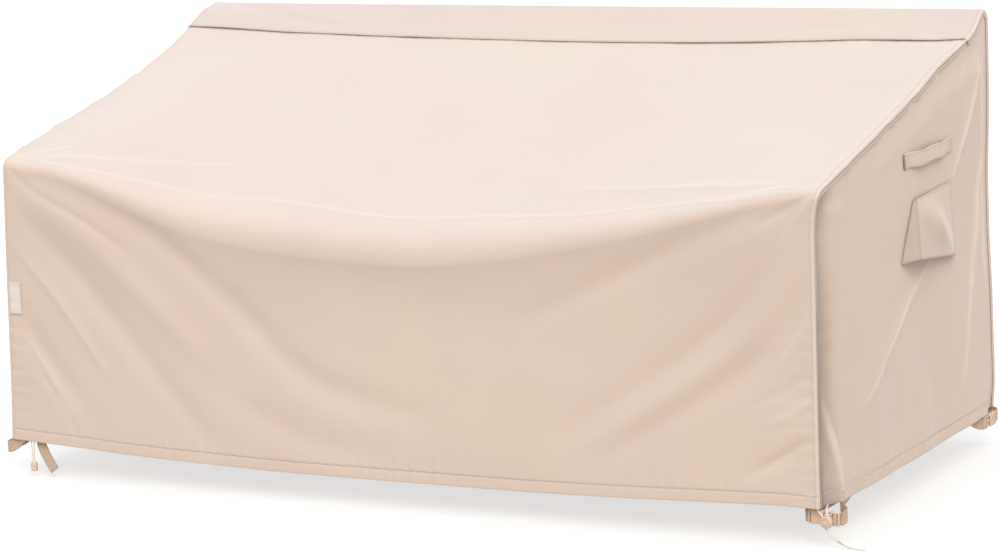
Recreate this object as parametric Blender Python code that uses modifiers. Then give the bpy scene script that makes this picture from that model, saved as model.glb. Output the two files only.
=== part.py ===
"""A fitted fabric cover for a three-seat outdoor sofa, in the shape that it has when it is on.

Metres, +Z up. The front faces -Y and +X is on the right of someone who looks at the front. The origin
is under the middle of the top ridge, on the inner face of the cloth, where the cover hangs from.
"""

import math

import bmesh
import bpy
import numpy as np
from mathutils import Vector
from mathutils.bvhtree import BVHTree

# Driving sizes of the cover.
WIDTH = 2.007
DEPTH = 0.94
HEIGHT = 0.889
SHEET = 0.002
GAP = 0.0003
RIDGE_RADIUS = 0.030
BACK_Y = RIDGE_RADIUS
FRONT_Y = BACK_Y - DEPTH
TOP_Z = SHEET
HEM_Z = TOP_Z - HEIGHT

# Seams: the band over the ridge laps over the main panel, and both lap over the side panels.
BAND = 0.125
LAP = 0.012
LIP = 0.014
LIP_BEND = 0.005
TUCK = 0.006
SEAM_GAP = 0.0005
RAISE = SHEET + GAP

# Sides of the cover, and the runs of its section that each long panel covers.
SIDES = ((-1, "left"), (1, "right"))
MAIN_RUNS = ("lap", "slope", "roll", "front")
BACK_RUNS = ("rear", "ridge", "band", "lap")

# Mesh rows and columns.
COLUMNS_ACROSS = 32
ROWS_SLOPE = 12
ROWS_ROLL = 5
ROWS_WALL = 12
ROWS_RIDGE = 4
BAND_ROWS = (0.0, 0.03, 0.065, 0.095, BAND - LAP)
BAND_LIFT = (0.3, 0.7, 1.0, 1.0)
SLOPE_CROWDING = 1.6

FABRIC = (0.82, 0.70, 0.60)
WEBBING = (0.74, 0.58, 0.44)
CORD = (0.90, 0.84, 0.76)
PLASTIC = (0.80, 0.64, 0.50)
PATCH = (0.86, 0.76, 0.68)

# A row for each section across the cover: how far across it is, how much the ridge rises there, how
# high the shoulder stands above the hem, how long its roll is, how far the hem stands forward, how far
# it hangs below the corners, and how far the front is hollow under the shoulder.
ACROSS_COLUMNS = ("across", "ridge", "shoulder", "roll", "forward", "drop", "hollow")
ACROSS = (
    (-1.00, 0.000, 0.643, 0.022, 0.009, 0.000, 0.000),
    (-0.85, 0.000, 0.622, 0.026, 0.012, 0.005, 0.004),
    (-0.66, 0.000, 0.579, 0.045, 0.016, 0.013, 0.008),
    (-0.45, 0.001, 0.540, 0.058, 0.020, 0.017, 0.010),
    (-0.20, 0.002, 0.517, 0.062, 0.022, 0.020, 0.010),
    (0.05, 0.003, 0.508, 0.060, 0.022, 0.019, 0.010),
    (0.30, 0.004, 0.525, 0.050, 0.022, 0.018, 0.010),
    (0.55, 0.006, 0.560, 0.036, 0.022, 0.013, 0.009),
    (0.78, 0.007, 0.606, 0.025, 0.020, 0.006, 0.006),
    (0.93, 0.008, 0.636, 0.022, 0.019, 0.002, 0.002),
    (1.00, 0.008, 0.643, 0.022, 0.018, 0.004, 0.000),
)
FORWARD_POWER = 1.3

# A row for each place down the slope: its distance forward of the ridge, and the share of the whole
# drop to the shoulder that the cloth has come down by there, at the left edge, mid-width and right edge.
SLOPE_COLUMNS = ("forward", "left", "middle", "right")
SLOPE = (
    (0.000, 0.000, 0.000, 0.000),
    (0.060, 0.055, 0.105, 0.160),
    (0.120, 0.175, 0.200, 0.225),
    (0.240, 0.375, 0.325, 0.320),
    (0.400, 0.557, 0.490, 0.510),
    (0.530, 0.685, 0.620, 0.640),
    (0.650, 0.780, 0.738, 0.755),
    (0.780, 0.890, 0.870, 0.875),
    (0.910, 1.000, 1.000, 1.000),
)
SLOPE_EDGE_WIDTH = 0.28

# A row for each height above the hem: how far out the seams at the four upright corners are.
CORNER_COLUMNS = ("height", "front_left", "front_right", "rear_left", "rear_right")
CORNERS = (
    (0.00, 1.022, 0.991, 0.996, 0.992),
    (0.08, 1.018, 0.990, 0.998, 0.998),
    (0.25, 1.013, 0.989, 0.998, 0.998),
    (0.42, 1.008, 0.989, 0.996, 0.995),
    (0.55, 1.003, 0.989, 0.997, 0.996),
    (0.60, 1.001, 0.993, 0.999, 0.998),
    (0.65, 0.999, 1.003, 1.000, 1.000),
    (0.90, 1.002, 1.003, 1.003, 1.003),
)

# The back's shallow waves by their height, their turns for each metre across and their start, and how
# far its hem stands out.
REAR_WAVES = ((0.004, 5.2, 0.6), (0.003, 11.0, -1.1))
REAR_FLARE = 0.006

# A row for each fold of the front and slope: three places on its line, each by its distance across
# and its distance down the cloth from the shoulder line (less than 0 is up the slope), then its half
# width and its height, which is less than 0 for a trough.
MAIN_FOLDS = (
    # start        middle         end            width  height
    (-0.96, 0.01, -0.62, 0.075, -0.35, 0.225, 0.032, -0.007),
    (-0.40, 0.19, -0.22, 0.320, 0.07, 0.380, 0.036, -0.007),
    (-0.95, 0.07, -0.72, 0.170, -0.40, 0.390, 0.038, 0.006),
    (-0.96, 0.12, -0.77, 0.260, -0.47, 0.504, 0.034, -0.006),
    (-0.97, 0.35, -0.90, 0.440, -0.80, 0.530, 0.030, -0.005),
    (-0.55, 0.30, -0.32, 0.430, -0.05, 0.480, 0.034, -0.004),
    (0.96, 0.01, 0.62, 0.085, 0.32, 0.180, 0.030, -0.006),
    (0.96, 0.04, 0.80, 0.235, 0.42, 0.420, 0.034, -0.007),
    (0.95, 0.10, 0.82, 0.290, 0.50, 0.450, 0.030, 0.005),
    (0.97, 0.19, 0.85, 0.340, 0.50, 0.480, 0.030, -0.006),
    (0.98, 0.50, 0.92, 0.535, 0.84, 0.565, 0.020, -0.004),
    (0.36, -0.18, 0.69, -0.112, 0.94, -0.040, 0.022, 0.003),
    (-0.98, -0.03, -0.73, -0.114, -0.45, -0.220, 0.022, 0.003),
)
# The folds fade out over these distances: from the side seams, and from the seam under the band.
FOLD_SIDE_FADE = 0.06
FOLD_SEAM_START = 0.02
FOLD_SEAM_FADE = 0.05

# A row for each fold of a side panel: three places on its line, each by its place in Y and its height
# above the hem, then its half width and its height, which is less than 0 for a trough.
SIDE_FOLDS = (
    # start       middle        end           width  height
    (-0.05, 0.80, -0.11, 0.69, -0.215, 0.560, 0.018, 0.004),
    (-0.03, 0.60, -0.10, 0.40, -0.200, 0.090, 0.020, 0.005),
    (-0.36, 0.40, -0.53, 0.30, -0.710, 0.170, 0.018, 0.003),
    (-0.89, 0.31, -0.868, 0.150, -0.852, -0.02, 0.017, 0.013),
    (-0.17, 0.77, -0.14, 0.805, -0.110, 0.83, 0.020, -0.006),
    (-0.06, 0.36, -0.035, 0.20, -0.030, 0.030, 0.016, 0.006),
    (-0.78, 0.47, -0.70, 0.28, -0.640, 0.040, 0.050, 0.006),
    (-0.40, 0.28, -0.36, 0.15, -0.340, 0.000, 0.045, -0.005),
)
# A side panel lies flat up to HOLD_FREE from its edges and then swells over SIDE_EASE; its corner points
# are tucked in further than its edges are.
SIDE_SWELL = 0.012
SIDE_EASE = 0.030
SIDE_HEM_BULGE = 0.010
HOLD = 0.020
HOLD_FREE = 0.027
ROLL_TUCK = 0.0110
RIDGE_TUCK = 0.0125
GRADE_STEP = 0.005

# Sewn-on pieces lie this far off the cloth that they are sewn to.
SEAT = 0.0008
SEAT_RAY = 0.10

# Handle: a strap sewn at both ends on the side panel, and slack between them.
HANDLE_REAR = -0.228
HANDLE_FRONT = -0.482
HANDLE_HEIGHT = 0.634
HANDLE_WIDTH = 0.033
HANDLE_THICKNESS = 0.0025
HANDLE_SLACK = 0.013
HANDLE_SEWN = 0.022
HANDLE_EASE = 0.030
HANDLE_WAVE = 0.0015
HANDLE_WAVES = 2.25
HANDLE_COLUMNS = 16

# Vent hood: its corners by their place in Y, height above the hem and distance off the side panel.
HOOD_CORNERS = {
    "wall_top": (-0.440, 0.546, 0.0),
    "wall_low": (-0.504, 0.421, 0.0),
    "flap_top": (-0.432, 0.549, 0.003),
    "flap_low": (-0.472, 0.427, 0.030),
    "rear_top": (-0.230, 0.556, 0.0),
    "rear_low": (-0.222, 0.391, 0.004),
}
HOOD_RIDGE = 0.016
HOOD_RIDGE_WIDTH = 0.33
HOOD_ROWS = 7
HOOD_GUSSET_COLUMNS = 3
HOOD_FLAP_COLUMNS = 7

# Label patch near the left end of the front.
LABEL_CENTRE = (-0.9865, 0.327)
LABEL_SIZE = (0.032, 0.074)
LABEL_THICKNESS = 0.0008
LABEL_COLUMNS = 3
LABEL_ROWS = 5

# Webbing straps. Each route's places are the distance inwards from the hem corner along the front or
# back, the distance from there towards the other end of the side, and the height above the hem. A sewn
# end holds the strap flat for SEWN_SHARE of the route's first step.
STRAP_WIDTH = 0.025
STRAP_THICKNESS = 0.0018
STRAP_SPACING = 0.011
SEWN_SHARE = 0.75
HEM_CORNERS = {
    # place in X, place in Y, way out in X, way in along Y
    "front_right": (0.991, -0.928, 1, 1),
    "front_left": (-1.022, -0.919, -1, 1),
    "rear_right": (0.992, 0.036, 1, -1),
    "rear_left": (-0.996, 0.036, -1, -1),
}
HEM_RUNS = {
    "rear_right": (
        (0.072, 0.000, 0.014),
        (0.052, 0.000, 0.006),
        (0.038, 0.006, -0.007),
        (0.022, 0.004, -0.0150),
        (0.006, -0.004, -0.0155),
        (-0.008, 0.004, -0.016),
        (-0.012, 0.018, -0.0175),
    ),
}
SIDE_RUNS = {
    "front_right": (
        (-0.046, 0.024, -0.021),
        (-0.045, 0.036, -0.018),
        (-0.037, 0.050, -0.0185),
        (-0.023, 0.066, -0.0185),
        (-0.008, 0.088, -0.0140),
        (-0.005, 0.120, 0.004),
        (-0.005, 0.150, 0.014),
    ),
    "rear_right": (
        (-0.0075, 0.120, -0.014),
        (-0.004, 0.140, -0.005),
        (-0.008, 0.162, 0.003),
        (-0.004, 0.184, 0.014),
        (-0.004, 0.202, 0.019),
    ),
}
BUCKLE_INNER_RUN = (
    (0.0405, 0.022, -0.0238),
    (0.0425, 0.032, -0.0225),
    (0.0400, 0.048, -0.020),
    (0.030, 0.074, -0.017),
    (0.018, 0.105, -0.011),
    (0.008, 0.140, -0.004),
    (0.000, 0.180, 0.003),
    (-0.010, 0.203, 0.009),
    (-0.002, 0.215, 0.012),
    (-0.002, 0.240, 0.016),
)
INNER_RUN = (
    (0.140, 0.000, 0.020),
    (0.122, 0.000, 0.014),
    (0.112, 0.007, 0.008),
    (0.098, 0.026, 0.000),
    (0.080, 0.050, -0.007),
    (0.052, 0.076, -0.011),
    (0.028, 0.104, -0.009),
    (0.014, 0.138, -0.004),
    (0.000, 0.180, 0.002),
    (-0.010, 0.203, 0.009),
    (-0.002, 0.215, 0.012),
    (-0.002, 0.240, 0.016),
)
LOOP_RUNS = {
    "front_left": (
        (0.042, 0.000, 0.018),
        (0.031, 0.000, 0.008),
        (0.014, 0.006, -0.008),
        (-0.006, 0.003, -0.020),
        (-0.0175, 0.009, -0.021),
        (-0.0175, 0.022, -0.019),
        (-0.008, 0.040, -0.0165),
        (0.002, 0.062, -0.008),
        (0.000, 0.090, 0.004),
        (-0.005, 0.120, 0.014),
    ),
    "rear_left": (
        (0.085, 0.000, 0.018),
        (0.065, 0.000, 0.008),
        (0.040, 0.006, -0.008),
        (0.015, 0.000, -0.019),
        (-0.010, 0.004, -0.020),
        (-0.024, 0.018, -0.019),
        (-0.022, 0.040, -0.018),
        (-0.008, 0.062, -0.0165),
        (0.000, 0.088, -0.006),
        (-0.009, 0.106, 0.003),
        (0.000, 0.118, 0.008),
        (-0.003, 0.145, 0.015),
    ),
}
TAIL_RUN = (
    (0.0765, 0.000, 0.018),
    (0.0755, 0.000, 0.008),
    (0.0750, 0.010, -0.006),
    (0.0790, 0.009, -0.016),
    (0.0880, 0.006, -0.030),
    (0.1010, 0.003, -0.048),
    (0.1150, 0.001, -0.066),
)
UPRIGHT = (0.0, 0.0, 1.0)
ACROSS_WAY = (1.0, 0.0, 0.0)

# Buckles: the size of each half, and the places of the socket's outer end, of the joint between the two
# halves and of the plug's outer end, in the same terms as the straps.
BUCKLE_WIDTH = 0.030
BUCKLE_THICKNESS = 0.009
BUCKLE_BEVEL = 0.003
BUCKLE_LEADS = (0.0005, 0.0025, 0.0045)
BUCKLE_LINES = {
    "front_right": ((0.033, 0.018, -0.0240), (-0.002, 0.018, -0.0252), (-0.037, 0.018, -0.0264)),
    "rear_right": ((-0.013, 0.034, -0.0180), (-0.013, 0.066, -0.0185), (-0.010, 0.098, -0.0190)),
}

# Cord lock: a round button whose slot takes both drawstring ends.
LOCK_CENTRE = (1.0035, -0.9225, -0.9180)
LOCK_RADIUS = 0.0130
LOCK_DEPTH = 0.0125
LOCK_BEVEL = 0.0030
LOCK_TILT = math.radians(14)
LOCK_SLOT = (0.0185, 0.0046, 0.040)

# Toggle on the thin loop at the front left.
TOGGLE_CENTRE = (-0.9655, -0.9160, -0.9490)
TOGGLE_RADIUS = 0.0078
TOGGLE_LENGTH = 0.0200
TOGGLE_BEVEL = 0.0025

# Cords: the diameter of each and the places on its route, in world coordinates.
DRAWSTRING = 0.0035
THIN_CORD = 0.0028
CORD_STEP = 2.5
CORDS = {
    "drawstring_end_a": (DRAWSTRING, (
        (0.9835, -0.9220, -0.8790),
        (0.9838, -0.9225, -0.8920),
        (0.9885, -0.9225, -0.9000),
        (0.9950, -0.9225, -0.9080),
        (0.9985, -0.9225, -0.9180),
        (1.0020, -0.9225, -0.9330),
        (1.0075, -0.9225, -0.9420),
        (1.0150, -0.9225, -0.9500),
        (1.0260, -0.9215, -0.9575),
        (1.0390, -0.9200, -0.9635),
        (1.0530, -0.9190, -0.9680),
        (1.0800, -0.9180, -0.9692),
    )),
    "drawstring_end_b": (DRAWSTRING, (
        (0.9905, -0.8850, -0.8770),
        (0.9905, -0.8850, -0.8910),
        (0.9922, -0.8930, -0.8950),
        (0.9960, -0.9040, -0.8948),
        (1.0005, -0.9160, -0.8955),
        (1.0045, -0.9215, -0.9010),
        (1.0062, -0.9225, -0.9080),
        (1.0085, -0.9225, -0.9180),
        (1.0130, -0.9225, -0.9300),
        (1.0180, -0.9230, -0.9385),
        (1.0250, -0.9240, -0.9475),
        (1.0340, -0.9245, -0.9560),
        (1.0450, -0.9245, -0.9625),
        (1.0600, -0.9240, -0.9672),
        (1.0855, -0.9235, -0.9692),
    )),
    "toggle_cord_a": (THIN_CORD, (
        (-0.9695, -0.9150, -0.8780),
        (-0.9695, -0.9155, -0.8900),
        (-0.9690, -0.9160, -0.9050),
        (-0.9680, -0.9160, -0.9220),
        (-0.9680, -0.9160, -0.9387),
    )),
    "toggle_cord_b": (THIN_CORD, (
        (-0.9625, -0.9150, -0.8780),
        (-0.9622, -0.9155, -0.8900),
        (-0.9622, -0.9160, -0.9050),
        (-0.9630, -0.9160, -0.9220),
        (-0.9630, -0.9160, -0.9387),
    )),
    "cord_tail_rear": (THIN_CORD, (
        (0.9570, 0.0268, -0.8780),
        (0.9575, 0.0268, -0.8950),
        (0.9590, 0.0270, -0.9150),
        (0.9625, 0.0270, -0.9380),
    )),
}


def smooth(t):
    """0 below 0, 1 above 1 and an even ease between them."""
    t = np.clip(t, 0.0, 1.0)
    return t * t * (3.0 - 2.0 * t)


def read(rows, columns, column, at):
    """The named column at a place along the first one, on a smooth curve through the rows."""
    places = np.array([row[0] for row in rows])
    values = np.array([row[columns.index(column)] for row in rows])
    steps = np.diff(places)
    slopes = np.diff(values) / steps
    tangents = np.zeros(len(places))
    same_way = slopes[1:] * slopes[:-1] > 0
    middle = (steps[1:] * slopes[:-1] + steps[:-1] * slopes[1:]) / (steps[1:] + steps[:-1])
    tangents[1:-1] = np.where(same_way, middle, 0.0)
    tangents[0], tangents[-1] = slopes[0], slopes[-1]
    at = np.clip(np.asarray(at, float), places[0], places[-1])
    i = np.clip(np.searchsorted(places, at, side="right") - 1, 0, len(steps) - 1)
    t = (at - places[i]) / steps[i]
    return (
        values[i] * (1 + 2 * t) * (1 - t) ** 2
        + tangents[i] * steps[i] * t * (1 - t) ** 2
        + values[i + 1] * t * t * (3 - 2 * t)
        - tangents[i + 1] * steps[i] * t * t * (1 - t)
    )


def across(column, x):
    """A column of ACROSS at a distance across the cover."""
    return read(ACROSS, ACROSS_COLUMNS, column, x)


def slope_share(x, forward):
    """How much of the drop from ridge to shoulder the cloth has made at a place on the slope."""
    near_left = 1.0 - smooth((x + WIDTH / 2) / SLOPE_EDGE_WIDTH)
    near_right = 1.0 - smooth((WIDTH / 2 - x) / SLOPE_EDGE_WIDTH)
    left, middle, right = (read(SLOPE, SLOPE_COLUMNS, name, forward) for name in SLOPE_COLUMNS[1:])
    return left * near_left + right * near_right + middle * (1.0 - near_left - near_right)


def slope_height(x, forward):
    """The height of the slope above the origin, forward of the ridge."""
    ridge = TOP_Z + across("ridge", x)
    shoulder = HEM_Z + across("shoulder", x)
    return ridge - (ridge - shoulder) * slope_share(x, forward)


def front_place(x, height):
    """Where the front stands at a height above the hem: its distance in Y."""
    top = across("shoulder", x) - across("roll", x)
    down = np.clip(1.0 - height / top, 0.0, 1.2)
    # down * (1 - down)**3 is 1 / 9.5 where it is largest
    hollow = across("hollow", x) * 9.5 * down * np.clip(1.0 - down, 0.0, 1.0) ** 3
    return FRONT_Y + hollow - across("forward", x) * down**FORWARD_POWER


def section(x):
    """The outline of the cover in Y and Z at one place across it, as named runs of points.

    The runs follow each other from the rear hem, over the ridge and down to the front hem, and each
    starts where the one before it ends.
    """
    ridge = TOP_Z + across("ridge", x)
    wall = np.linspace(0.0, 1.0, ROWS_WALL + 1)
    rear_top = ridge - RIDGE_RADIUS
    rear = [(BACK_Y + rear_bulge(x, t), HEM_Z + (rear_top - HEM_Z) * t) for t in wall]

    turn = np.linspace(0.0, math.pi / 2, ROWS_RIDGE + 1)
    over = [(RIDGE_RADIUS * math.cos(a), ridge - RIDGE_RADIUS * (1 - math.sin(a))) for a in turn]

    band = [(-f, float(slope_height(x, f))) for f in BAND_ROWS]
    lap = [(-f, float(slope_height(x, f))) for f in (BAND - LAP, BAND)]

    depth = -FRONT_Y
    roll = float(across("roll", x))
    shoulder = (FRONT_Y, HEM_Z + float(across("shoulder", x)))
    roll_start = depth - roll
    shares = 1.0 - (1.0 - np.linspace(0.0, 1.0, ROWS_SLOPE + 1)) ** SLOPE_CROWDING
    slope = [(-f, float(slope_height(x, f))) for f in BAND + (roll_start - BAND) * shares]

    start, end = slope[-1], (FRONT_Y, shoulder[1] - roll)
    bend = []
    for t in np.linspace(0.0, 1.0, ROWS_ROLL + 1):
        weights = ((1 - t) ** 2, 2 * t * (1 - t), t * t)
        bend.append(tuple(sum(w * p[k] for w, p in zip(weights, (start, shoulder, end))) for k in (0, 1)))

    top = end[1] - HEM_Z
    low = -float(across("drop", x))
    front = []
    for t in wall:
        height = top + (low - top) * t
        front.append((float(front_place(x, height)), HEM_Z + height))
    runs = {"rear": rear, "ridge": over, "band": band, "lap": lap}
    runs.update({"slope": slope, "roll": bend, "front": front})
    return runs


def rear_bulge(x, up):
    """How far the back stands out from its upright plane, by its share of the height."""
    waves = sum(height * math.sin(turns * x + start) for height, turns, start in REAR_WAVES)
    return waves * math.sin(math.pi * min(up * 1.05, 1.0)) * (1.0 - 0.4 * up) + REAR_FLARE * (1.0 - up) ** 2


def chain(x, names):
    """The points of the named runs in one line, without the points that two runs share."""
    runs = section(x)
    points = []
    for name in names:
        points += runs[name] if not points else runs[name][1:]
    return np.array(points)


def outward(points):
    """The unit normals of a line of points in Y and Z, to the outside of the cover."""
    along = np.gradient(points, axis=0)
    normal = np.stack([along[:, 1], -along[:, 0]], axis=1)
    return normal / np.linalg.norm(normal, axis=1)[:, None]


def seam_place(side, points):
    """How far out the edge seam is at each point of a section, on the left (-1) or right (1)."""
    height = points[:, 1] - HEM_Z
    name = "left" if side < 0 else "right"
    front = read(CORNERS, CORNER_COLUMNS, "front_" + name, height)
    rear = read(CORNERS, CORNER_COLUMNS, "rear_" + name, height)
    toward_rear = smooth((points[:, 0] - FRONT_Y) / DEPTH)
    return front + (rear - front) * toward_rear


def fold_height(folds, p, q):
    """How far the cloth stands out at (p, q) for the folds of a table."""
    total = np.zeros(np.broadcast(p, q).shape)
    steps = np.linspace(0.0, 1.0, 25)
    for p0, q0, p1, q1, p2, q2, width, height in folds:
        # the curve passes through the middle place at half way
        bend = (2 * p1 - (p0 + p2) / 2, 2 * q1 - (q0 + q2) / 2)
        pc = p0 * (1 - steps) ** 2 + bend[0] * 2 * steps * (1 - steps) + p2 * steps**2
        qc = q0 * (1 - steps) ** 2 + bend[1] * 2 * steps * (1 - steps) + q2 * steps**2
        nearest = np.full(total.shape, 1e9)
        where = np.zeros(total.shape)
        for t, a, b in zip(steps, pc, qc):
            d = (p - a) ** 2 + (q - b) ** 2
            where = np.where(d < nearest, t, where)
            nearest = np.minimum(d, nearest)
        fade = np.sin(math.pi * np.clip(0.08 + 0.84 * where, 0, 1)) ** 0.7
        total = total + height * fade * np.exp(-nearest / width**2)
    return total


def cloth_distance(points, corner):
    """The distance down the cloth from the shoulder's corner for each point of a section."""
    steps = np.linalg.norm(np.diff(points, axis=0), axis=1)
    along = np.concatenate([[0.0], np.cumsum(steps)])
    nearest = np.argmin(np.linalg.norm(points - corner, axis=1))
    return along - along[nearest]


def panel_surface(names, raised=None, folds=()):
    """The outer face of a panel that runs across the cover, as a grid of points with its turned lips.

    raised gives, for each row, how far the panel is lifted off its neighbour where it laps over it.
    """
    half = WIDTH / 2
    shares = np.linspace(-1.0, 1.0, COLUMNS_ACROSS + 1)
    edges = {}
    for side in (-1, 1):
        line = chain(side * half, names)
        edges[side] = seam_place(side, line)
    lift = np.zeros(len(edges[1])) if raised is None else np.asarray(raised)
    columns = []
    for share in shares:
        x = share * half
        line = chain(x, names)
        normal = outward(line)
        place = (share + 1) / 2
        flat_left = -(edges[-1] - LIP_BEND)
        flat_right = edges[1] - LIP_BEND
        xs = flat_left + (flat_right - flat_left) * place
        out = lift.copy()
        if folds:
            corner = np.array([FRONT_Y, HEM_Z + float(across("shoulder", x))])
            q = cloth_distance(line, corner)
            edge = smooth((half - abs(x)) / FOLD_SIDE_FADE)
            seam = smooth((q - q[0] - FOLD_SEAM_START) / FOLD_SEAM_FADE)
            out = out + fold_height(folds, xs, q) * edge * seam
        columns.append(np.column_stack([xs, line + normal * out[:, None]]))
    left, right = lip_columns(-1, names, edges, lift), lip_columns(1, names, edges, lift)
    return left[::-1] + columns + right


def lip_columns(side, names, edges, lift):
    """The columns of a panel's turned edge on one side, from the bend inwards to its cut edge."""
    line = chain(side * WIDTH / 2, names)
    normal = outward(line)
    columns = []
    for turn in (math.radians(45), math.radians(90)):
        out = edges[side] - LIP_BEND + (LIP_BEND + lift) * math.sin(turn)
        down = LIP_BEND - (LIP_BEND + lift) * math.cos(turn)
        columns.append(np.column_stack([side * out, line - normal * down[:, None]]))
    columns.append(np.column_stack([side * (edges[side] + lift), line - normal * LIP]))
    return columns


def add_sheet(name, columns, material, thickness=SHEET, flip=False):
    """A cloth solid from the grid of its outer face, thickened inwards."""
    rows = len(columns[0])
    mesh = bpy.data.meshes.new(name)
    bm = bmesh.new()
    bmesh.ops.create_grid(bm, x_segments=len(columns) - 1, y_segments=rows - 1, size=0.5)
    bm.verts.ensure_lookup_table()
    for vert in bm.verts:
        i = round((vert.co.x + 0.5) * (len(columns) - 1))
        j = round((vert.co.y + 0.5) * (rows - 1))
        vert.co = Vector(columns[i][j])
    if flip:
        bmesh.ops.reverse_faces(bm, faces=bm.faces)
    bm.to_mesh(mesh)
    bm.free()
    mesh.shade_smooth()
    sheet = bpy.data.objects.new(name, mesh)
    parts.objects.link(sheet)
    solidify = sheet.modifiers.new("Cloth", "SOLIDIFY")
    solidify.thickness = thickness
    solidify.offset = -1.0
    solidify.use_even_offset = True
    sheet.data.materials.append(material)
    return sheet


def make_material(name, colour, roughness):
    """A plain Principled material."""
    material = bpy.data.materials.new(name)
    material.use_nodes = True
    shader = material.node_tree.nodes["Principled BSDF"]
    shader.inputs["Base Color"].default_value = (*colour, 1.0)
    shader.inputs["Roughness"].default_value = roughness
    material.diffuse_color = (*colour, 1.0)
    return material


def side_surface(side):
    """The outer face of a side panel as a grid of points, its edges tucked under the other panels' lips."""
    runs = {name: np.array(run) for name, run in section(side * WIDTH / 2).items()}
    slope_line = np.concatenate([runs["slope"][::-1], runs["lap"][-2::-1], runs["band"][-2::-1]])
    front_line = runs["front"][::-1]
    ridge = runs["band"][0][1]
    first_y = FRONT_Y + ROLL_TUCK
    first = (first_y, float(slope_height(side * WIDTH / 2, -first_y)) - ROLL_TUCK)
    last = (BACK_Y - RIDGE_TUCK, ridge - RIDGE_TUCK)
    top = np.concatenate([[first], slope_line + outward(slope_line) * TUCK, [last]])
    front = np.concatenate([front_line + [TUCK, 0.0], [first]])
    rear = np.concatenate([runs["rear"] - [TUCK, 0.0], [last]])

    # a column and a row are added where the lips end
    places = np.sort(np.append(top[:, 0], [FRONT_Y + HOLD, BACK_Y - HOLD]))
    top = np.column_stack([places, np.interp(places, top[:, 0], top[:, 1])])
    share_a = (places - places[0]) / (places[-1] - places[0])
    edges = []
    for line in (front, rear):
        at = np.sort(np.append(line[:, 1], line[-1, 1] - (HOLD - TUCK)))
        edges.append(np.column_stack([np.interp(at, line[:, 1], line[:, 0]), at]))
    front, rear = edges
    share_b = (front[:, 1] - front[0, 1]) / (front[-1, 1] - front[0, 1])

    hem = front[0] + (rear[0] - front[0]) * share_a[:, None]
    seams = [seam_place(side, line) for line in (hem, top, front, rear)]
    seams[0] = seams[0] + SIDE_HEM_BULGE * np.sin(math.pi * share_a) ** 0.6
    hem, top, front, rear = (
        np.column_stack([out, line]) for out, line in zip(seams, (hem, top, front, rear))
    )
    columns = []
    for i, a in enumerate(share_a):
        b = share_b[:, None]
        column = (1 - b) * hem[i] + b * top[i] + (1 - a) * front + a * rear
        column -= (1 - a) * ((1 - b) * hem[0] + b * top[0]) + a * ((1 - b) * hem[-1] + b * top[-1])
        y, z = column[:, 1], column[:, 2]
        free = smooth((edge_distance(side, y, z) - HOLD_FREE) / SIDE_EASE)
        folds = fold_height(SIDE_FOLDS, y, z - HEM_Z)
        column[:, 0] = seam_place(side, column[:, 1:]) - SHEET - SEAM_GAP + free * (
            column[:, 0] - seam_place(side, column[:, 1:]) + SHEET + SEAM_GAP + SIDE_SWELL + folds
        )
        column[:, 0] *= side
        columns.append(column)
    return columns


def edge_distance(side, y, z):
    """How far places on a side panel are from the nearest of the cover's front, slope and back."""
    x = side * WIDTH / 2
    from_front = y - front_place(x, z - HEM_Z)
    forward = np.maximum(-y, 0.0)
    steepness = (slope_height(x, forward + GRADE_STEP) - slope_height(x, forward)) / GRADE_STEP
    below_slope = (slope_height(x, forward) - z) / np.sqrt(1.0 + steepness**2)
    return np.minimum(np.minimum(from_front, below_slope), BACK_Y - y)


def tree_of(thing):
    """A search tree of an object's finished mesh, for finding where its faces are."""
    bpy.context.view_layer.update()
    return BVHTree.FromObject(thing, bpy.context.evaluated_depsgraph_get())


def side_face(side, y, z):
    """How far out the outer face of a side panel is."""
    name = "left" if side < 0 else "right"
    hit = trees["side_panel_" + name].ray_cast(Vector((side * WIDTH, y, z)), Vector((-side, 0, 0)))
    return abs(hit[0].x)


def handle_surface(side):
    """The outer face of a handle: sewn flat at its ends and slack between them."""
    columns = []
    for i in range(HANDLE_COLUMNS + 1):
        y = HANDLE_FRONT + (HANDLE_REAR - HANDLE_FRONT) * i / HANDLE_COLUMNS
        inside = min(y - HANDLE_FRONT, HANDLE_REAR - y) - HANDLE_SEWN
        slack = HANDLE_SLACK * float(smooth(inside / HANDLE_EASE))
        wave = HANDLE_WAVE * math.sin(math.tau * HANDLE_WAVES * i / HANDLE_COLUMNS)
        column = []
        for up in (-0.5, 0.0, 0.5):
            z = HEM_Z + HANDLE_HEIGHT + wave + HANDLE_WIDTH * up
            column.append((side * (side_face(side, y, z) + SEAT + HANDLE_THICKNESS + slack), y, z))
        columns.append(column)
    return columns


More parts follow.
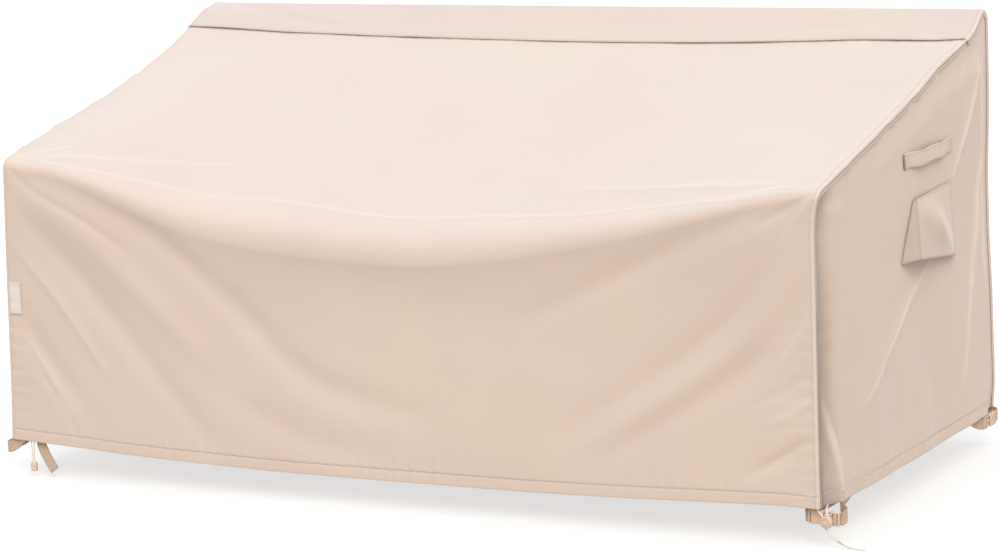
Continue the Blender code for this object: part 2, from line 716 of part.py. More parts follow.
def hood_surface(side):
    """The outer face of a vent hood: a narrow gusset in front, then the flap with its slanting fold."""
    corners = {name: np.array(place) for name, place in HOOD_CORNERS.items()}
    columns = []
    gusset = [("gusset", i / HOOD_GUSSET_COLUMNS) for i in range(HOOD_GUSSET_COLUMNS)]
    flap = [("flap", i / HOOD_FLAP_COLUMNS) for i in range(HOOD_FLAP_COLUMNS + 1)]
    for piece, s in gusset + flap:
        column = []
        for j in range(HOOD_ROWS + 1):
            down = 1.0 - j / HOOD_ROWS
            wall = corners["wall_top"] * (1 - down) + corners["wall_low"] * down
            fold = corners["flap_top"] * (1 - down) + corners["flap_low"] * down
            rear = corners["rear_top"] * (1 - down) + corners["rear_low"] * down
            if piece == "gusset":
                y, up, out = wall * (1 - s) + fold * s
            else:
                y, up, out = fold * (1 - s) + rear * s
                near = math.exp(-(((s - down) / HOOD_RIDGE_WIDTH) ** 2))
                diagonal = near * math.sin(math.pi * (s + down) / 2)
                out += HOOD_RIDGE * diagonal * math.sin(math.pi * s) ** 0.5
            z = HEM_Z + up
            column.append((side * (side_face(side, y, z) + SEAT + SHEET + out), y, z))
        columns.append(column)
    return columns


def label_surface():
    """The outer face of the label patch, laid on the front."""
    columns = []
    for i in range(LABEL_COLUMNS + 1):
        x = LABEL_CENTRE[0] + LABEL_SIZE[0] * (i / LABEL_COLUMNS - 0.5)
        column = []
        for j in range(LABEL_ROWS + 1):
            z = HEM_Z + LABEL_CENTRE[1] + LABEL_SIZE[1] * (j / LABEL_ROWS - 0.5)
            hit = trees["main_panel"].ray_cast(Vector((x, 2 * FRONT_Y, z)), Vector((0, 1, 0)))
            column.append((x, hit[0].y - SEAT - LABEL_THICKNESS, z))
        columns.append(column)
    return columns


def headings_along(places):
    """The way a line heads at each of its places, most like the shorter of the two steps there."""
    steps = [end - start for start, end in zip(places, places[1:])]
    headings = [steps[0].normalized()]
    for before, after in zip(steps, steps[1:]):
        a, b = before.length, after.length
        headings.append((before / a * b + after / b * a) / (a + b))
    return headings + [steps[-1].normalized()]


def smooth_route(places, spacing):
    """Points on a smooth curve through the places of a route, about evenly apart."""
    places = [Vector(place) for place in places]
    steps = [end - start for start, end in zip(places, places[1:])]
    headings = headings_along(places)
    line = []
    for i, step in enumerate(steps):
        count = max(1, round(step.length / spacing))
        for t in np.arange(count) / count:
            line.append(
                places[i]
                + step * t * t * (3 - 2 * t)
                + headings[i] * step.length * t * (1 - t) ** 2
                - headings[i + 1] * step.length * t * t * (1 - t)
            )
    return line + [places[-1]]


def corner_places(corner, route):
    """The world places of a route that is given from a hem corner."""
    x, y, out, into = HEM_CORNERS[corner]
    return [Vector((x - out * a, y + into * b, HEM_Z + c)) for a, b, c in route]


def seat(place, panel, corner, width_way):
    """Moves a place at a strap's sewn end until the strap lies on the inner face of its panel."""
    _, _, out, into = HEM_CORNERS[corner]
    way = Vector((out, 0, 0)) if panel.startswith("side") else Vector((0, -into, 0))
    reach = []
    for share in (-0.5, 0.0, 0.5):
        start = place - way * SEAT_RAY + Vector(width_way) * STRAP_WIDTH * share
        hit = trees[panel].ray_cast(start, way)
        if hit[0]:
            reach.append(hit[3])
    return place + way * (min(reach) - SEAT_RAY - SEAT - STRAP_THICKNESS / 2)


def add_strap(name, corner, route, first=None, last=None, after=None, before=None, width_way=UPRIGHT):
    """A webbing strap along a route.

    first and last name the panels that its ends are sewn to; before and after are the world places that
    it runs through ahead of the route and past it, where it meets a buckle.
    """
    places = corner_places(corner, route)
    if first:
        places[1:1] = [places[0].lerp(places[1], SEWN_SHARE)]
        places[:3] = [seat(place, first, corner, width_way) for place in places[:3]]
    if last:
        places[-1:-1] = [places[-1].lerp(places[-2], SEWN_SHARE)]
        places[-3:] = [seat(place, last, corner, width_way) for place in places[-3:]]
    line = smooth_route((before or []) + places + (after or []), STRAP_SPACING)
    columns = [[], []]
    for place, along in zip(line, headings_along(line)):
        along = along.normalized()
        wide = Vector(width_way)
        wide = (wide - along * wide.dot(along)).normalized()
        for column, way in zip(columns, (-0.5, 0.5)):
            column.append(place + wide * STRAP_WIDTH * way)
    strap = add_sheet(name, columns, webbing, STRAP_THICKNESS)
    strap.modifiers["Cloth"].offset = 0.0


def buckle_leads(corner, side):
    """The places that a strap runs straight through just outside a buckle's end, the nearest first."""
    places = corner_places(corner, BUCKLE_LINES[corner])
    end = places[0] if side == "socket" else places[-1]
    away = (end - places[1]).normalized()
    return [end + away * distance for distance in BUCKLE_LEADS]


def add_buckle_half(name, start, end):
    """One half of a buckle between two places on its middle line, a slab with rounded edges."""
    along = end - start
    bpy.ops.mesh.primitive_cube_add(size=1.0, location=(start + end) / 2)
    half = bpy.context.object
    half.name = name
    half.rotation_euler = along.to_track_quat("X", "Z").to_euler()
    half.scale = (along.length, BUCKLE_THICKNESS, BUCKLE_WIDTH)
    finish_solid(half, BUCKLE_BEVEL, plastic)


def finish_solid(thing, bevel, material):
    """Applies a primitive's scale, rounds its edges, and files it with the parts."""
    bpy.ops.object.transform_apply(location=False, rotation=False, scale=True)
    for group in list(thing.users_collection):
        group.objects.unlink(thing)
    parts.objects.link(thing)
    rounding = thing.modifiers.new("Rounded edges", "BEVEL")
    rounding.width = bevel
    rounding.segments = 2
    rounding.limit_method = "ANGLE"
    thing.data.shade_smooth()
    thing.data.materials.append(material)


def add_buckle(corner):
    """A closed side-release buckle: the socket and the plug, end to end."""
    outer, joint, other = corner_places(corner, BUCKLE_LINES[corner])
    shift = (other - outer).normalized() * GAP
    add_buckle_half("buckle_socket_" + corner, outer, joint - shift)
    add_buckle_half("buckle_plug_" + corner, joint + shift, other)


def add_cord_lock():
    """The round cord lock, with one slot through it for both drawstring ends."""
    bpy.ops.mesh.primitive_cylinder_add(
        vertices=24, radius=LOCK_RADIUS, depth=LOCK_DEPTH, location=LOCK_CENTRE
    )
    lock = bpy.context.object
    lock.name = "cord_lock"
    lock.rotation_euler = (math.pi / 2, 0.0, 0.0)
    finish_solid(lock, LOCK_BEVEL, plastic)

    bpy.ops.mesh.primitive_cube_add(size=1.0, location=LOCK_CENTRE)
    slot = bpy.context.object
    slot.name = "lock_slot"
    slot.scale = LOCK_SLOT
    slot.rotation_euler = (0.0, -LOCK_TILT, 0.0)
    slot.hide_render = True
    slot.display_type = "WIRE"
    for group in list(slot.users_collection):
        group.objects.unlink(slot)
    cutters.objects.link(slot)
    cut = lock.modifiers.new("Slot", "BOOLEAN")
    cut.operation = "DIFFERENCE"
    cut.object = slot


def add_toggle():
    """The small barrel toggle below the thin loop."""
    bpy.ops.mesh.primitive_cylinder_add(
        vertices=16, radius=TOGGLE_RADIUS, depth=TOGGLE_LENGTH, location=TOGGLE_CENTRE
    )
    toggle = bpy.context.object
    toggle.name = "toggle"
    finish_solid(toggle, TOGGLE_BEVEL, plastic)


def add_cord(name, diameter, route):
    """A cord as a round tube along its route."""
    line = smooth_route(route, CORD_STEP * diameter)
    curve = bpy.data.curves.new(name, "CURVE")
    curve.dimensions = "3D"
    curve.bevel_depth = diameter / 2
    curve.bevel_resolution = 2
    curve.use_fill_caps = True
    spline = curve.splines.new("POLY")
    spline.points.add(len(line) - 1)
    for point, place in zip(spline.points, line):
        point.co = (*place, 1.0)
    cord = bpy.data.objects.new(name, curve)
    parts.objects.link(cord)
    cord.data.materials.append(cord_yarn)


for old in list(bpy.data.objects):
    bpy.data.objects.remove(old)
parts = bpy.data.collections.new("sofa_cover")
cutters = bpy.data.collections.new("cutters")
for group in (parts, cutters):
    bpy.context.scene.collection.children.link(group)

fabric = make_material("cover_fabric", FABRIC, 0.75)
webbing = make_material("webbing", WEBBING, 0.8)
cord_yarn = make_material("cord", CORD, 0.8)
plastic = make_material("buckle_plastic", PLASTIC, 0.45)
patch_cloth = make_material("label_patch", PATCH, 0.7)

# Cloth panels
trees = {}
band_lift = np.zeros(len(chain(0.0, BACK_RUNS)))
band_lift[-len(BAND_LIFT) :] = RAISE * np.array(BAND_LIFT)
trees["main_panel"] = tree_of(
    add_sheet("main_panel", panel_surface(MAIN_RUNS, folds=MAIN_FOLDS), fabric, flip=True)
)
trees["back_panel"] = tree_of(
    add_sheet("back_panel", panel_surface(BACK_RUNS, raised=band_lift), fabric, flip=True)
)
for side, end in SIDES:
    name = "side_panel_" + end
    trees[name] = tree_of(add_sheet(name, side_surface(side), fabric, flip=side < 0))

# Handles, vent hoods and label
for side, end in SIDES:
    add_sheet("handle_" + end, handle_surface(side), fabric, HANDLE_THICKNESS, flip=side < 0)
    add_sheet("vent_hood_" + end, hood_surface(side), fabric, flip=side < 0)
add_sheet("label_patch", label_surface(), patch_cloth, LABEL_THICKNESS)

# Straps and buckles at the four lower corners
for corner, (_, _, out, into) in HEM_CORNERS.items():
    across_panel = "main_panel" if into > 0 else "back_panel"
    side_panel = "side_panel_right" if out > 0 else "side_panel_left"
    ends = {"first": across_panel, "last": side_panel}
    if corner in LOOP_RUNS:
        add_strap("strap_loop_" + corner, corner, LOOP_RUNS[corner], **ends)
    else:
        add_buckle(corner)
        leads = buckle_leads(corner, "plug")
        add_strap("strap_side_" + corner, corner, SIDE_RUNS[corner], last=side_panel, before=leads)
    leads = buckle_leads(corner, "socket") if corner in BUCKLE_LINES else []
    if corner in HEM_RUNS:
        add_strap("strap_hem_" + corner, corner, HEM_RUNS[corner], first=across_panel, after=leads[::-1])
    if corner == "front_right":
        add_strap("strap_inner_" + corner, corner, BUCKLE_INNER_RUN, last=side_panel, before=leads)
    else:
        add_strap("strap_inner_" + corner, corner, INNER_RUN, **ends)
add_strap("strap_tail_front_left", "front_left", TAIL_RUN, first="main_panel", width_way=ACROSS_WAY)

# Drawstring ends
add_cord_lock()
add_toggle()
for name, (diameter, route) in CORDS.items():
    add_cord(name, diameter, route)
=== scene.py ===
"""The looks of a fitted cover for an outdoor sofa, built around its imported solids.

Metres, in the frame of the solids: +Z up, the front faces -Y, and the origin is under the top ridge.
"""

import math

import bmesh
import bpy
import numpy as np
from mathutils import Matrix, Vector
from mathutils.bvhtree import BVHTree


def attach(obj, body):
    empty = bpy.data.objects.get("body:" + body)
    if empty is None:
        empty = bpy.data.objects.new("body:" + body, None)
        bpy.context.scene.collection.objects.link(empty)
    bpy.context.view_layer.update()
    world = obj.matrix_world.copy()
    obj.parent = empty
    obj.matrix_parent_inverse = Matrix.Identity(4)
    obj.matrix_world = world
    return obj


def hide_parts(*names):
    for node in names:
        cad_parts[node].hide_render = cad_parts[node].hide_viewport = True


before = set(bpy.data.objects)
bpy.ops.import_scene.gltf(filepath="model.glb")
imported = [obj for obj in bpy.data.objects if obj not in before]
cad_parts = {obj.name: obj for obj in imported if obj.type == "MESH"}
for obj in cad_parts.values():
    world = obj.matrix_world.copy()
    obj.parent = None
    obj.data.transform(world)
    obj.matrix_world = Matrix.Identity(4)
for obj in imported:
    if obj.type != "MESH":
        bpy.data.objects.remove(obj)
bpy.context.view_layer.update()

# Driving sizes, as in the solids.
WIDTH = 2.007
DEPTH = 0.94
HEIGHT = 0.889
SHEET = 0.002
GAP = 0.0003
RIDGE_RADIUS = 0.030
BACK_Y = RIDGE_RADIUS
FRONT_Y = BACK_Y - DEPTH
TOP_Z = SHEET
HEM_Z = TOP_Z - HEIGHT
FLOOR_Z = HEM_Z - 0.084
BAND = 0.125
LAP = 0.012
LAP_ROWS = 4
LIP = 0.014
LIP_BEND = 0.005
TUCK = 0.006
SEAM_GAP = 0.0005
RAISE = SHEET + GAP
RISE_TO_LAP = (0.1, 0.3, 0.55, 0.8, 0.95, 1.0)
SIDES = ((-1, "left"), (1, "right"))
MAIN_RUNS = ("lap", "slope", "roll", "front")
BACK_RUNS = ("rear", "ridge", "band", "lap")

# Rows and columns of the fine meshes.
COLUMNS_ACROSS = 320
ROWS_SLOPE = 118
ROWS_ROLL = 16
ROWS_WALL = 92
ROWS_RIDGE = 8
ROWS_BAND = 18
SLOPE_CROWDING = 1.25
# A panel's lip: the turns of its bend in degrees, then its flat part, by the share of its width, how far
# it is sunk there and how dark the painted shade in its seam groove is.
LIP_TURNS = (18, 36, 54, 72, 90)
LIP_STEPS = (
    (0.10, 0.0012, 0.8), (0.22, 0.0019, 1.1), (0.36, 0.0012, 0.5), (0.55, 0.0006, 0.10),
    (1.0, 0.0016, 0.06), (1.04, 0.0018, 0.06), (1.04, SHEET, 0.06),
)
LIP_MIDDLE = 0.57
# Distances of the rows beside a seam, and of the columns beside a side edge, close together where it turns.
SEAM_STEPS = (0.0, 0.0018, 0.0036, 0.0054, 0.0075, 0.010, 0.013, 0.017, 0.022)
EDGE_STEPS = (0.0, 0.0018, 0.0034, 0.0048, 0.0062, 0.0076, 0.0092, 0.0112, 0.014, 0.018, 0.023)

# The hem: the heights of its rows, its stitched line, and how far its turned edge goes up inside.
HEM_ROWS = (0.040, 0.034, 0.030, 0.0275, 0.0255, 0.024, 0.0225, 0.0205, 0.018, 0.014, 0.009, 0.004, 0.0)
HEM_STITCH = 0.024
HEM_GROOVE = 0.0012
HEM_TURN = 0.026
HEM_BENDS = (45, 90, 135, 180)
HEM_RISES = (0.3, 0.65, 1.0)
HEM_ADDED = len(HEM_BENDS) + len(HEM_RISES)

# Painted shade of seams, folds and hollows (of 1), painted highlight on crests, and how far bends are paled
# by rubbing.
SEAM_WIDTH = 0.0017
CREST_WIDTH = 0.0048
CREST_HIGHLIGHT = 1.6
MAIN_CREST_SHARE = 1.2
PANEL_SHADE = 0.4
# Painted shade over the whole back cloth, band included.
BACK_SHADE = 0.34
BAND_SEAM_SHADE = 0.8
BAND_EDGE_SHADE = 0.6
SIDE_HEM_SHADE = 0.2
REAR_LIP_SHARE = 0.25
BEND_WEAR = 0.5
BEND_COLUMNS = 1.6
# Painted shade at both ends of each handle.
HANDLE_END_SHADE = 1.2
# Painted shade on the vent hoods: over the gusset and its folds, toward the flap's lower front corner, along
# its top and its mouth.
GUSSET_SHADE = 0.6
GUSSET_EDGE_SHADE = 0.7
FLAP_SHADE = 0.30
FLAP_TOP_SHADE = 0.5
FLAP_MOUTH_SHADE = 0.4
# Painted shade on the cloth behind the front corner: how dark it is, and the middle and half width of its
# strip.
CORNER_SHADES = ((62.0, 0.020, 0.026), (0.6, 0.040, 0.030), (1.1, 0.017, 0.011))

# The cover's section by the distance across: heights of its ridge and shoulder, the shoulder's roll,
# how far the front leans out, how far its hem sags and how hollow it is.
ACROSS = (
    ("at", "ridge", "shoulder", "roll", "forward", "drop", "hollow"),
    (-1.00, 0.000, 0.643, 0.022, 0.009, 0.000, 0.000),
    (-0.85, 0.000, 0.622, 0.026, 0.012, 0.005, 0.004),
    (-0.66, 0.000, 0.579, 0.045, 0.016, 0.013, 0.008),
    (-0.45, 0.001, 0.540, 0.058, 0.020, 0.017, 0.010),
    (-0.20, 0.002, 0.517, 0.062, 0.022, 0.020, 0.010),
    (0.05, 0.003, 0.508, 0.060, 0.022, 0.019, 0.010),
    (0.30, 0.004, 0.525, 0.050, 0.022, 0.018, 0.010),
    (0.55, 0.006, 0.560, 0.036, 0.022, 0.013, 0.009),
    (0.78, 0.007, 0.606, 0.025, 0.020, 0.006, 0.006),
    (0.93, 0.008, 0.636, 0.022, 0.019, 0.002, 0.002),
    (1.00, 0.008, 0.643, 0.022, 0.018, 0.004, 0.000),
)
FORWARD_POWER = 1.3
# How much of its drop the slope has made, by the distance forward of the ridge.
SLOPE = (
    ("at", "left", "middle", "right"),
    (0.000, 0.000, 0.000, 0.000),
    (0.060, 0.055, 0.105, 0.160),
    (0.120, 0.175, 0.200, 0.225),
    (0.240, 0.375, 0.325, 0.320),
    (0.400, 0.557, 0.490, 0.510),
    (0.530, 0.685, 0.620, 0.640),
    (0.650, 0.780, 0.738, 0.755),
    (0.780, 0.890, 0.870, 0.875),
    (0.910, 1.000, 1.000, 1.000),
)
SLOPE_EDGE_WIDTH = 0.28
# How far out the seams at the four corners are, by the height above the hem.
CORNERS = (
    ("at", "front_left", "front_right", "rear_left", "rear_right"),
    (0.00, 1.022, 0.991, 0.996, 0.992),
    (0.08, 1.018, 0.990, 0.998, 0.998),
    (0.25, 1.013, 0.989, 0.998, 0.998),
    (0.42, 1.008, 0.989, 0.996, 0.995),
    (0.55, 1.003, 0.989, 0.997, 0.996),
    (0.60, 1.001, 0.993, 0.999, 0.998),
    (0.65, 0.999, 1.003, 1.000, 1.000),
    (0.90, 1.002, 1.003, 1.003, 1.003),
)
# How wide the band over the ridge is, by the distance across.
BAND_WIDTH = (
    ("at", "width"),
    (-1.0, 0.122), (-0.85, 0.116), (-0.55, 0.106), (-0.10, 0.105), (0.70, 0.112), (0.92, 0.112),
    (1.0, 0.100),
)
# Slow waves of the back: height, turns across and start. Then its flare at the hem.
REAR_WAVES = ((0.004, 5.2, 0.6), (0.003, 11.0, -1.1))
REAR_FLARE = 0.006

# Folds of the front and slope: the places on each line, by the distance across and the distance down
# the cloth from the shoulder line, then its half width and its height, less than 0 for a trough.
MAIN_FOLDS = (
    (((-0.96, 0.01), (-0.62, 0.075), (-0.35, 0.225)), 0.032, -0.007),
    (((-0.40, 0.19), (-0.22, 0.320), (0.07, 0.380)), 0.036, -0.007),
    (((-0.95, 0.07), (-0.72, 0.170), (-0.40, 0.390)), 0.038, 0.006),
    (((-0.96, 0.12), (-0.77, 0.260), (-0.47, 0.504)), 0.034, -0.006),
    (((-0.97, 0.35), (-0.90, 0.440), (-0.80, 0.530)), 0.030, -0.005),
    (((-0.55, 0.30), (-0.32, 0.430), (-0.05, 0.480)), 0.034, -0.004),
    (((0.96, 0.01), (0.62, 0.085), (0.32, 0.180)), 0.030, -0.006),
    (((0.96, 0.04), (0.80, 0.235), (0.42, 0.420)), 0.034, -0.007),
    (((0.95, 0.10), (0.82, 0.290), (0.50, 0.450)), 0.030, 0.005),
    (((0.97, 0.19), (0.85, 0.340), (0.50, 0.480)), 0.030, -0.006),
    (((0.98, 0.50), (0.92, 0.535), (0.84, 0.565)), 0.020, -0.004),
    (((0.36, -0.18), (0.69, -0.112), (0.94, -0.040)), 0.022, 0.003),
    (((-0.98, -0.03), (-0.73, -0.114), (-0.45, -0.220)), 0.022, 0.003),
)
# Fine creases of the front and slope, in the same terms.
MAIN_CREASES = (
    (((-0.98, -0.024), (-0.847, -0.027), (-0.642, -0.052), (-0.481, -0.061)), 0.0067, 0.0030),
    (((-0.50, -0.059), (-0.300, -0.087), (-0.115, -0.074), (0.03, -0.073)), 0.0067, 0.0027),
    (((0.00, -0.074), (0.183, -0.079), (0.420, -0.061), (0.573, -0.055)), 0.0067, 0.0027),
    (((0.55, -0.057), (0.700, -0.038), (0.806, -0.018), (0.951, -0.012)), 0.0067, 0.0030),
    (((0.36, -0.182), (0.52, -0.150), (0.694, -0.112), (0.939, -0.040)), 0.0063, 0.0023),
    (((-0.99, -0.026), (-0.880, -0.060), (-0.730, -0.114), (-0.457, -0.219)), 0.0063, 0.0023),
    (((-0.99, -0.026), (-0.950, -0.060), (-0.879, -0.128)), 0.0072, 0.0027),
    (((0.84, 0.566), (0.910, 0.535), (0.980, 0.498)), 0.0081, -0.0034),
    (((-0.97, 0.20), (-0.860, 0.300), (-0.740, 0.430)), 0.0144, 0.0030),
    (((-0.96, 0.40), (-0.900, 0.470), (-0.850, 0.560)), 0.0108, 0.0023),
    (((-0.93, 0.47), (-0.870, 0.530), (-0.830, 0.600)), 0.0108, -0.0023),
    (((0.975, 0.36), (0.930, 0.395), (0.860, 0.420)), 0.0099, -0.0025),
    (((0.975, 0.42), (0.930, 0.450), (0.880, 0.465)), 0.0081, 0.0021),
    (((0.97, 0.25), (0.940, 0.300), (0.900, 0.350)), 0.0108, 0.0023),
    (((0.987, 0.010), (0.945, 0.055), (0.905, 0.108)), 0.0060, 0.0032),
    (((0.978, 0.005), (0.930, 0.028), (0.860, 0.058)), 0.0090, -0.0036),
    (((-0.990, 0.008), (-0.930, 0.052), (-0.850, 0.080), (-0.770, 0.102), (-0.690, 0.128)), 0.0090, -0.0026),
    (((0.970, -0.020), (0.900, -0.030), (0.780, -0.032)), 0.0090, 0.0030),
)
# How the slope's seamed edge stands up unevenly: height, turns and start.
EDGE_SWINGS = ((0.0009, 44.0, 1.3), (0.0006, 79.0, 0.4), (0.0003, 131.0, 2.0))
EDGE_SWING_WIDTH = 0.020
FOLD_SIDE_FADE = 0.06
CREASE_SIDE_FADE = 0.02
FOLD_SEAM_START = 0.02
FOLD_SEAM_FADE = 0.05

# Folds and creases of the back: places by the distance across and the height above the hem.
BACK_FOLDS = (
    (((-0.97, 0.84), (-0.70, 0.62), (-0.35, 0.42)), 0.042, 0.005),
    (((0.97, 0.83), (0.66, 0.60), (0.40, 0.38)), 0.044, 0.005),
    (((-0.96, 0.60), (-0.75, 0.40), (-0.55, 0.12)), 0.036, -0.005),
    (((0.96, 0.55), (0.80, 0.35), (0.66, 0.08)), 0.036, -0.005),
    (((-0.30, 0.40), (-0.22, 0.20), (-0.20, 0.00)), 0.045, 0.005),
    (((0.22, 0.42), (0.17, 0.20), (0.20, 0.00)), 0.050, -0.005),
    (((-0.60, 0.30), (-0.55, 0.12), (-0.57, 0.00)), 0.030, 0.004),
    (((0.52, 0.28), (0.50, 0.12), (0.53, 0.00)), 0.030, 0.004),
)
BACK_CREASES = (
    (((-0.98, 0.86), (-0.86, 0.74), (-0.74, 0.66)), 0.0075, 0.0026),
    (((0.98, 0.86), (0.88, 0.70), (0.80, 0.62)), 0.0075, 0.0026),
    (((-0.97, 0.30), (-0.85, 0.20), (-0.78, 0.08)), 0.0085, 0.0022),
    (((0.97, 0.26), (0.88, 0.15), (0.84, 0.04)), 0.0085, 0.0022),
)

# Creases of the band over the ridge: places by the distance across and the distance forward of it.
BAND_CREASES = (
    (((-0.93, 0.012), (-0.80, 0.045), (-0.55, 0.085), (-0.42, 0.105)), 0.014, -0.0020),
    (((-0.97, 0.010), (-0.93, 0.060), (-0.90, 0.100)), 0.010, -0.0016),
    (((-0.80, 0.020), (-0.68, 0.050), (-0.52, 0.070)), 0.012, 0.0016),
    (((0.40, 0.095), (0.62, 0.070), (0.86, 0.030)), 0.013, -0.0016),
    (((0.55, 0.055), (0.72, 0.035), (0.90, 0.020)), 0.011, 0.0013),
    (((-0.10, 0.030), (0.08, 0.050), (0.25, 0.045)), 0.014, -0.0010),
)

# Folds and creases of a side panel, by place in Y and height above the hem.
SIDE_FOLDS = (
    (((-0.05, 0.80), (-0.11, 0.69), (-0.215, 0.560)), 0.018, 0.004),
    (((-0.03, 0.60), (-0.10, 0.40), (-0.200, 0.090)), 0.020, 0.005),
    (((-0.36, 0.40), (-0.53, 0.30), (-0.710, 0.170)), 0.018, 0.003),
    (((-0.89, 0.31), (-0.868, 0.150), (-0.852, -0.02)), 0.017, 0.013),
    (((-0.17, 0.77), (-0.14, 0.805), (-0.110, 0.83)), 0.020, -0.006),
    (((-0.06, 0.36), (-0.035, 0.20), (-0.030, 0.030)), 0.016, 0.006),
    (((-0.78, 0.47), (-0.70, 0.28), (-0.640, 0.040)), 0.050, 0.006),
    (((-0.40, 0.28), (-0.36, 0.15), (-0.340, 0.000)), 0.045, -0.005),
)
SIDE_CREASES = (
    (((-0.049, 0.827), (-0.059, 0.765), (-0.118, 0.681), (-0.194, 0.587), (-0.219, 0.557)), 0.0059, 0.0037),
    (((0.012, 0.87), (0.016, 0.83), (0.013, 0.787)), 0.0054, 0.0031),
    (((-0.028, 0.608), (-0.075, 0.522), (-0.093, 0.438), (-0.137, 0.308)), 0.0063, 0.0037),
    (((-0.125, 0.340), (-0.150, 0.260), (-0.167, 0.203), (-0.198, 0.095)), 0.0063, 0.0031),
    (((-0.359, 0.405), (-0.469, 0.339), (-0.583, 0.255), (-0.711, 0.174)), 0.0054, 0.0027),
    (((-0.937, 0.322), (-0.900, 0.280), (-0.879, 0.242)), 0.0072, -0.0051),
    (((-0.884, 0.262), (-0.868, 0.140), (-0.851, 0.023)), 0.0054, 0.0051),
    (((-0.905, 0.240), (-0.895, 0.140), (-0.880, 0.020)), 0.0081, -0.0068),
)
SIDE_SWELL = 0.009
SIDE_HEM_SWELL = 0.003
SIDE_EASE = 0.055
SIDE_HEM_BULGE = 0.010
SIDE_FINE = 0.0026
# How far from a side panel's seams its cloth is held, how its top corners are tucked in, and the step that
# the slope's grade is taken over.
HOLD_FREE = 0.027
ROLL_TUCK = 0.0110
RIDGE_TUCK = 0.0125
GRADE_STEP = 0.005

# How far the side cloth is drawn in behind the front corner's seam, by height above the hem.
CORNER_HOLLOW = (
    ("at", "depth"),
    (0.000, 0.0), (0.035, 0.0), (0.09, 0.006), (0.15, 0.013), (0.27, 0.010), (0.36, 0.005), (0.46, 0.009),
    (0.56, 0.014), (0.66, 0.012),
)

# Puckers beside the seams: the lengths of their waves, then for each seam how high they are, how far they
# reach and where they start.
PUCKER_WAVES = (0.031, 0.0195, 0.0470)
PUCKERS = {
    "slope edge": (0.0008, 0.024, 0.3),
    "front edge": (0.0024, 0.030, 1.7),
    "under the band": (0.0010, 0.016, 2.2),
    "front hem": (0.0014, 0.026, 0.9),
    "back hem": (0.0007, 0.022, 4.1),
    "back edge": (0.0016, 0.026, 5.0),
    "band": (0.0009, 0.014, 2.9),
    "side front": (0.0016, 0.036, 6.1),
    "side top": (0.0016, 0.040, 7.7),
    "side hem": (0.0009, 0.028, 3.3),
}
# Slow unevenness of each cloth: its height and two waves that cross, each by its turns along the first and
# the second way and its start.
MAIN_RIPPLES = ((0.0011, (9, 4, 0.4), (5, -11, 0)), (0.0007, (23, -17, 1.9), (13, 19, 0.7)))
BACK_RIPPLES = ((0.0016, (7, 0, 2), (0, 6, 1)), (0.0009, (19, 5, 0), (0, 9, 2)))
SIDE_RIPPLES = ((0.0012, (21, 3, 1), (0, 8, -2)), (0.0008, (47, -9, 0), (9, 15, 0)))

# Handles and vent hoods, by place in Y and height above the hem.
SEAT = 0.0008
HANDLE_REAR = -0.228
HANDLE_FRONT = -0.482
HANDLE_Z = HEM_Z + 0.634
HANDLE_WIDTH = 0.033
HANDLE_THICKNESS = 0.0025
HANDLE_SLACK = 0.0085
HANDLE_SEWN = 0.022
HANDLE_EASE = 0.060
HANDLE_WAVE = 0.0015
HANDLE_WAVES = 2.25
HANDLE_STEPS = 110
HANDLE_EVEN = 6
HANDLE_CRUMPLE = 0.0009
HOOD_CORNERS = {
    "wall_top": (-0.440, 0.546, 0.0),
    "wall_low": (-0.504, 0.421, 0.0),
    "flap_top": (-0.432, 0.549, 0.003),
    "flap_low": (-0.472, 0.427, 0.030),
    "rear_top": (-0.230, 0.556, 0.0),
    "rear_low": (-0.222, 0.391, 0.004),
}
HOOD_RIDGE = 0.016
HOOD_RIDGE_WIDTH = 0.24
HOOD_ROWS = 34
HOOD_GUSSET_COLUMNS = 10
HOOD_FLAP_COLUMNS = 38

# Label patch.
LABEL_CENTRE = (-0.9865, 0.327)
LABEL_SIZE = (0.032, 0.074)
LABEL_THICKNESS = 0.0008
LABEL_PUFF = 0.0005
LABEL_COLUMNS = 12
LABEL_ROWS = 24

# Stitches.
STITCH_STEP = 0.0048
STITCH_LENGTH = 0.0034
STITCH_WIDTH = 0.0008
STITCH_SUNK = 0.0004
STITCH_RAISED = 0.00035
STITCH_INSET = 0.0035

# Straps: routes from the hem corners, as in the solids. A corner has its place, the sign of outward
# in X and that of inward in Y.
STRAP_WIDTH = 0.025
STRAP_THICKNESS = 0.0018
STRAP_SPACING = 0.004
SEWN_SHARE = 0.75
SEAT_RAY = 0.10
HEM_CORNERS = {
    "front_right": (0.991, -0.928, 1, 1),
    "front_left": (-1.022, -0.919, -1, 1),
    "rear_right": (0.992, 0.036, 1, -1),
    "rear_left": (-0.996, 0.036, -1, -1),
}
HEM_RUNS = {
    "rear_right": (
        (0.072, 0.000, 0.014), (0.052, 0.000, 0.006), (0.038, 0.006, -0.007), (0.022, 0.004, -0.0150),
        (0.006, -0.004, -0.0155), (-0.008, 0.004, -0.016), (-0.012, 0.018, -0.0175),
    ),
}
SIDE_RUNS = {
    "front_right": (
        (-0.046, 0.024, -0.021), (-0.045, 0.036, -0.018), (-0.037, 0.050, -0.0185),
        (-0.023, 0.066, -0.0185), (-0.008, 0.088, -0.0140), (-0.005, 0.120, 0.004),
        (-0.005, 0.150, 0.014),
    ),
    "rear_right": (
        (-0.0075, 0.120, -0.014), (-0.004, 0.140, -0.005), (-0.008, 0.162, 0.003),
        (-0.004, 0.184, 0.014), (-0.004, 0.202, 0.019),
    ),
}
BUCKLE_INNER_RUN = (
    (0.0405, 0.022, -0.0238), (0.0425, 0.032, -0.0225), (0.0400, 0.048, -0.020), (0.030, 0.074, -0.017),
    (0.018, 0.105, -0.011), (0.008, 0.140, -0.004), (0.000, 0.180, 0.003), (-0.010, 0.203, 0.009),
    (-0.002, 0.215, 0.012), (-0.002, 0.240, 0.016),
)
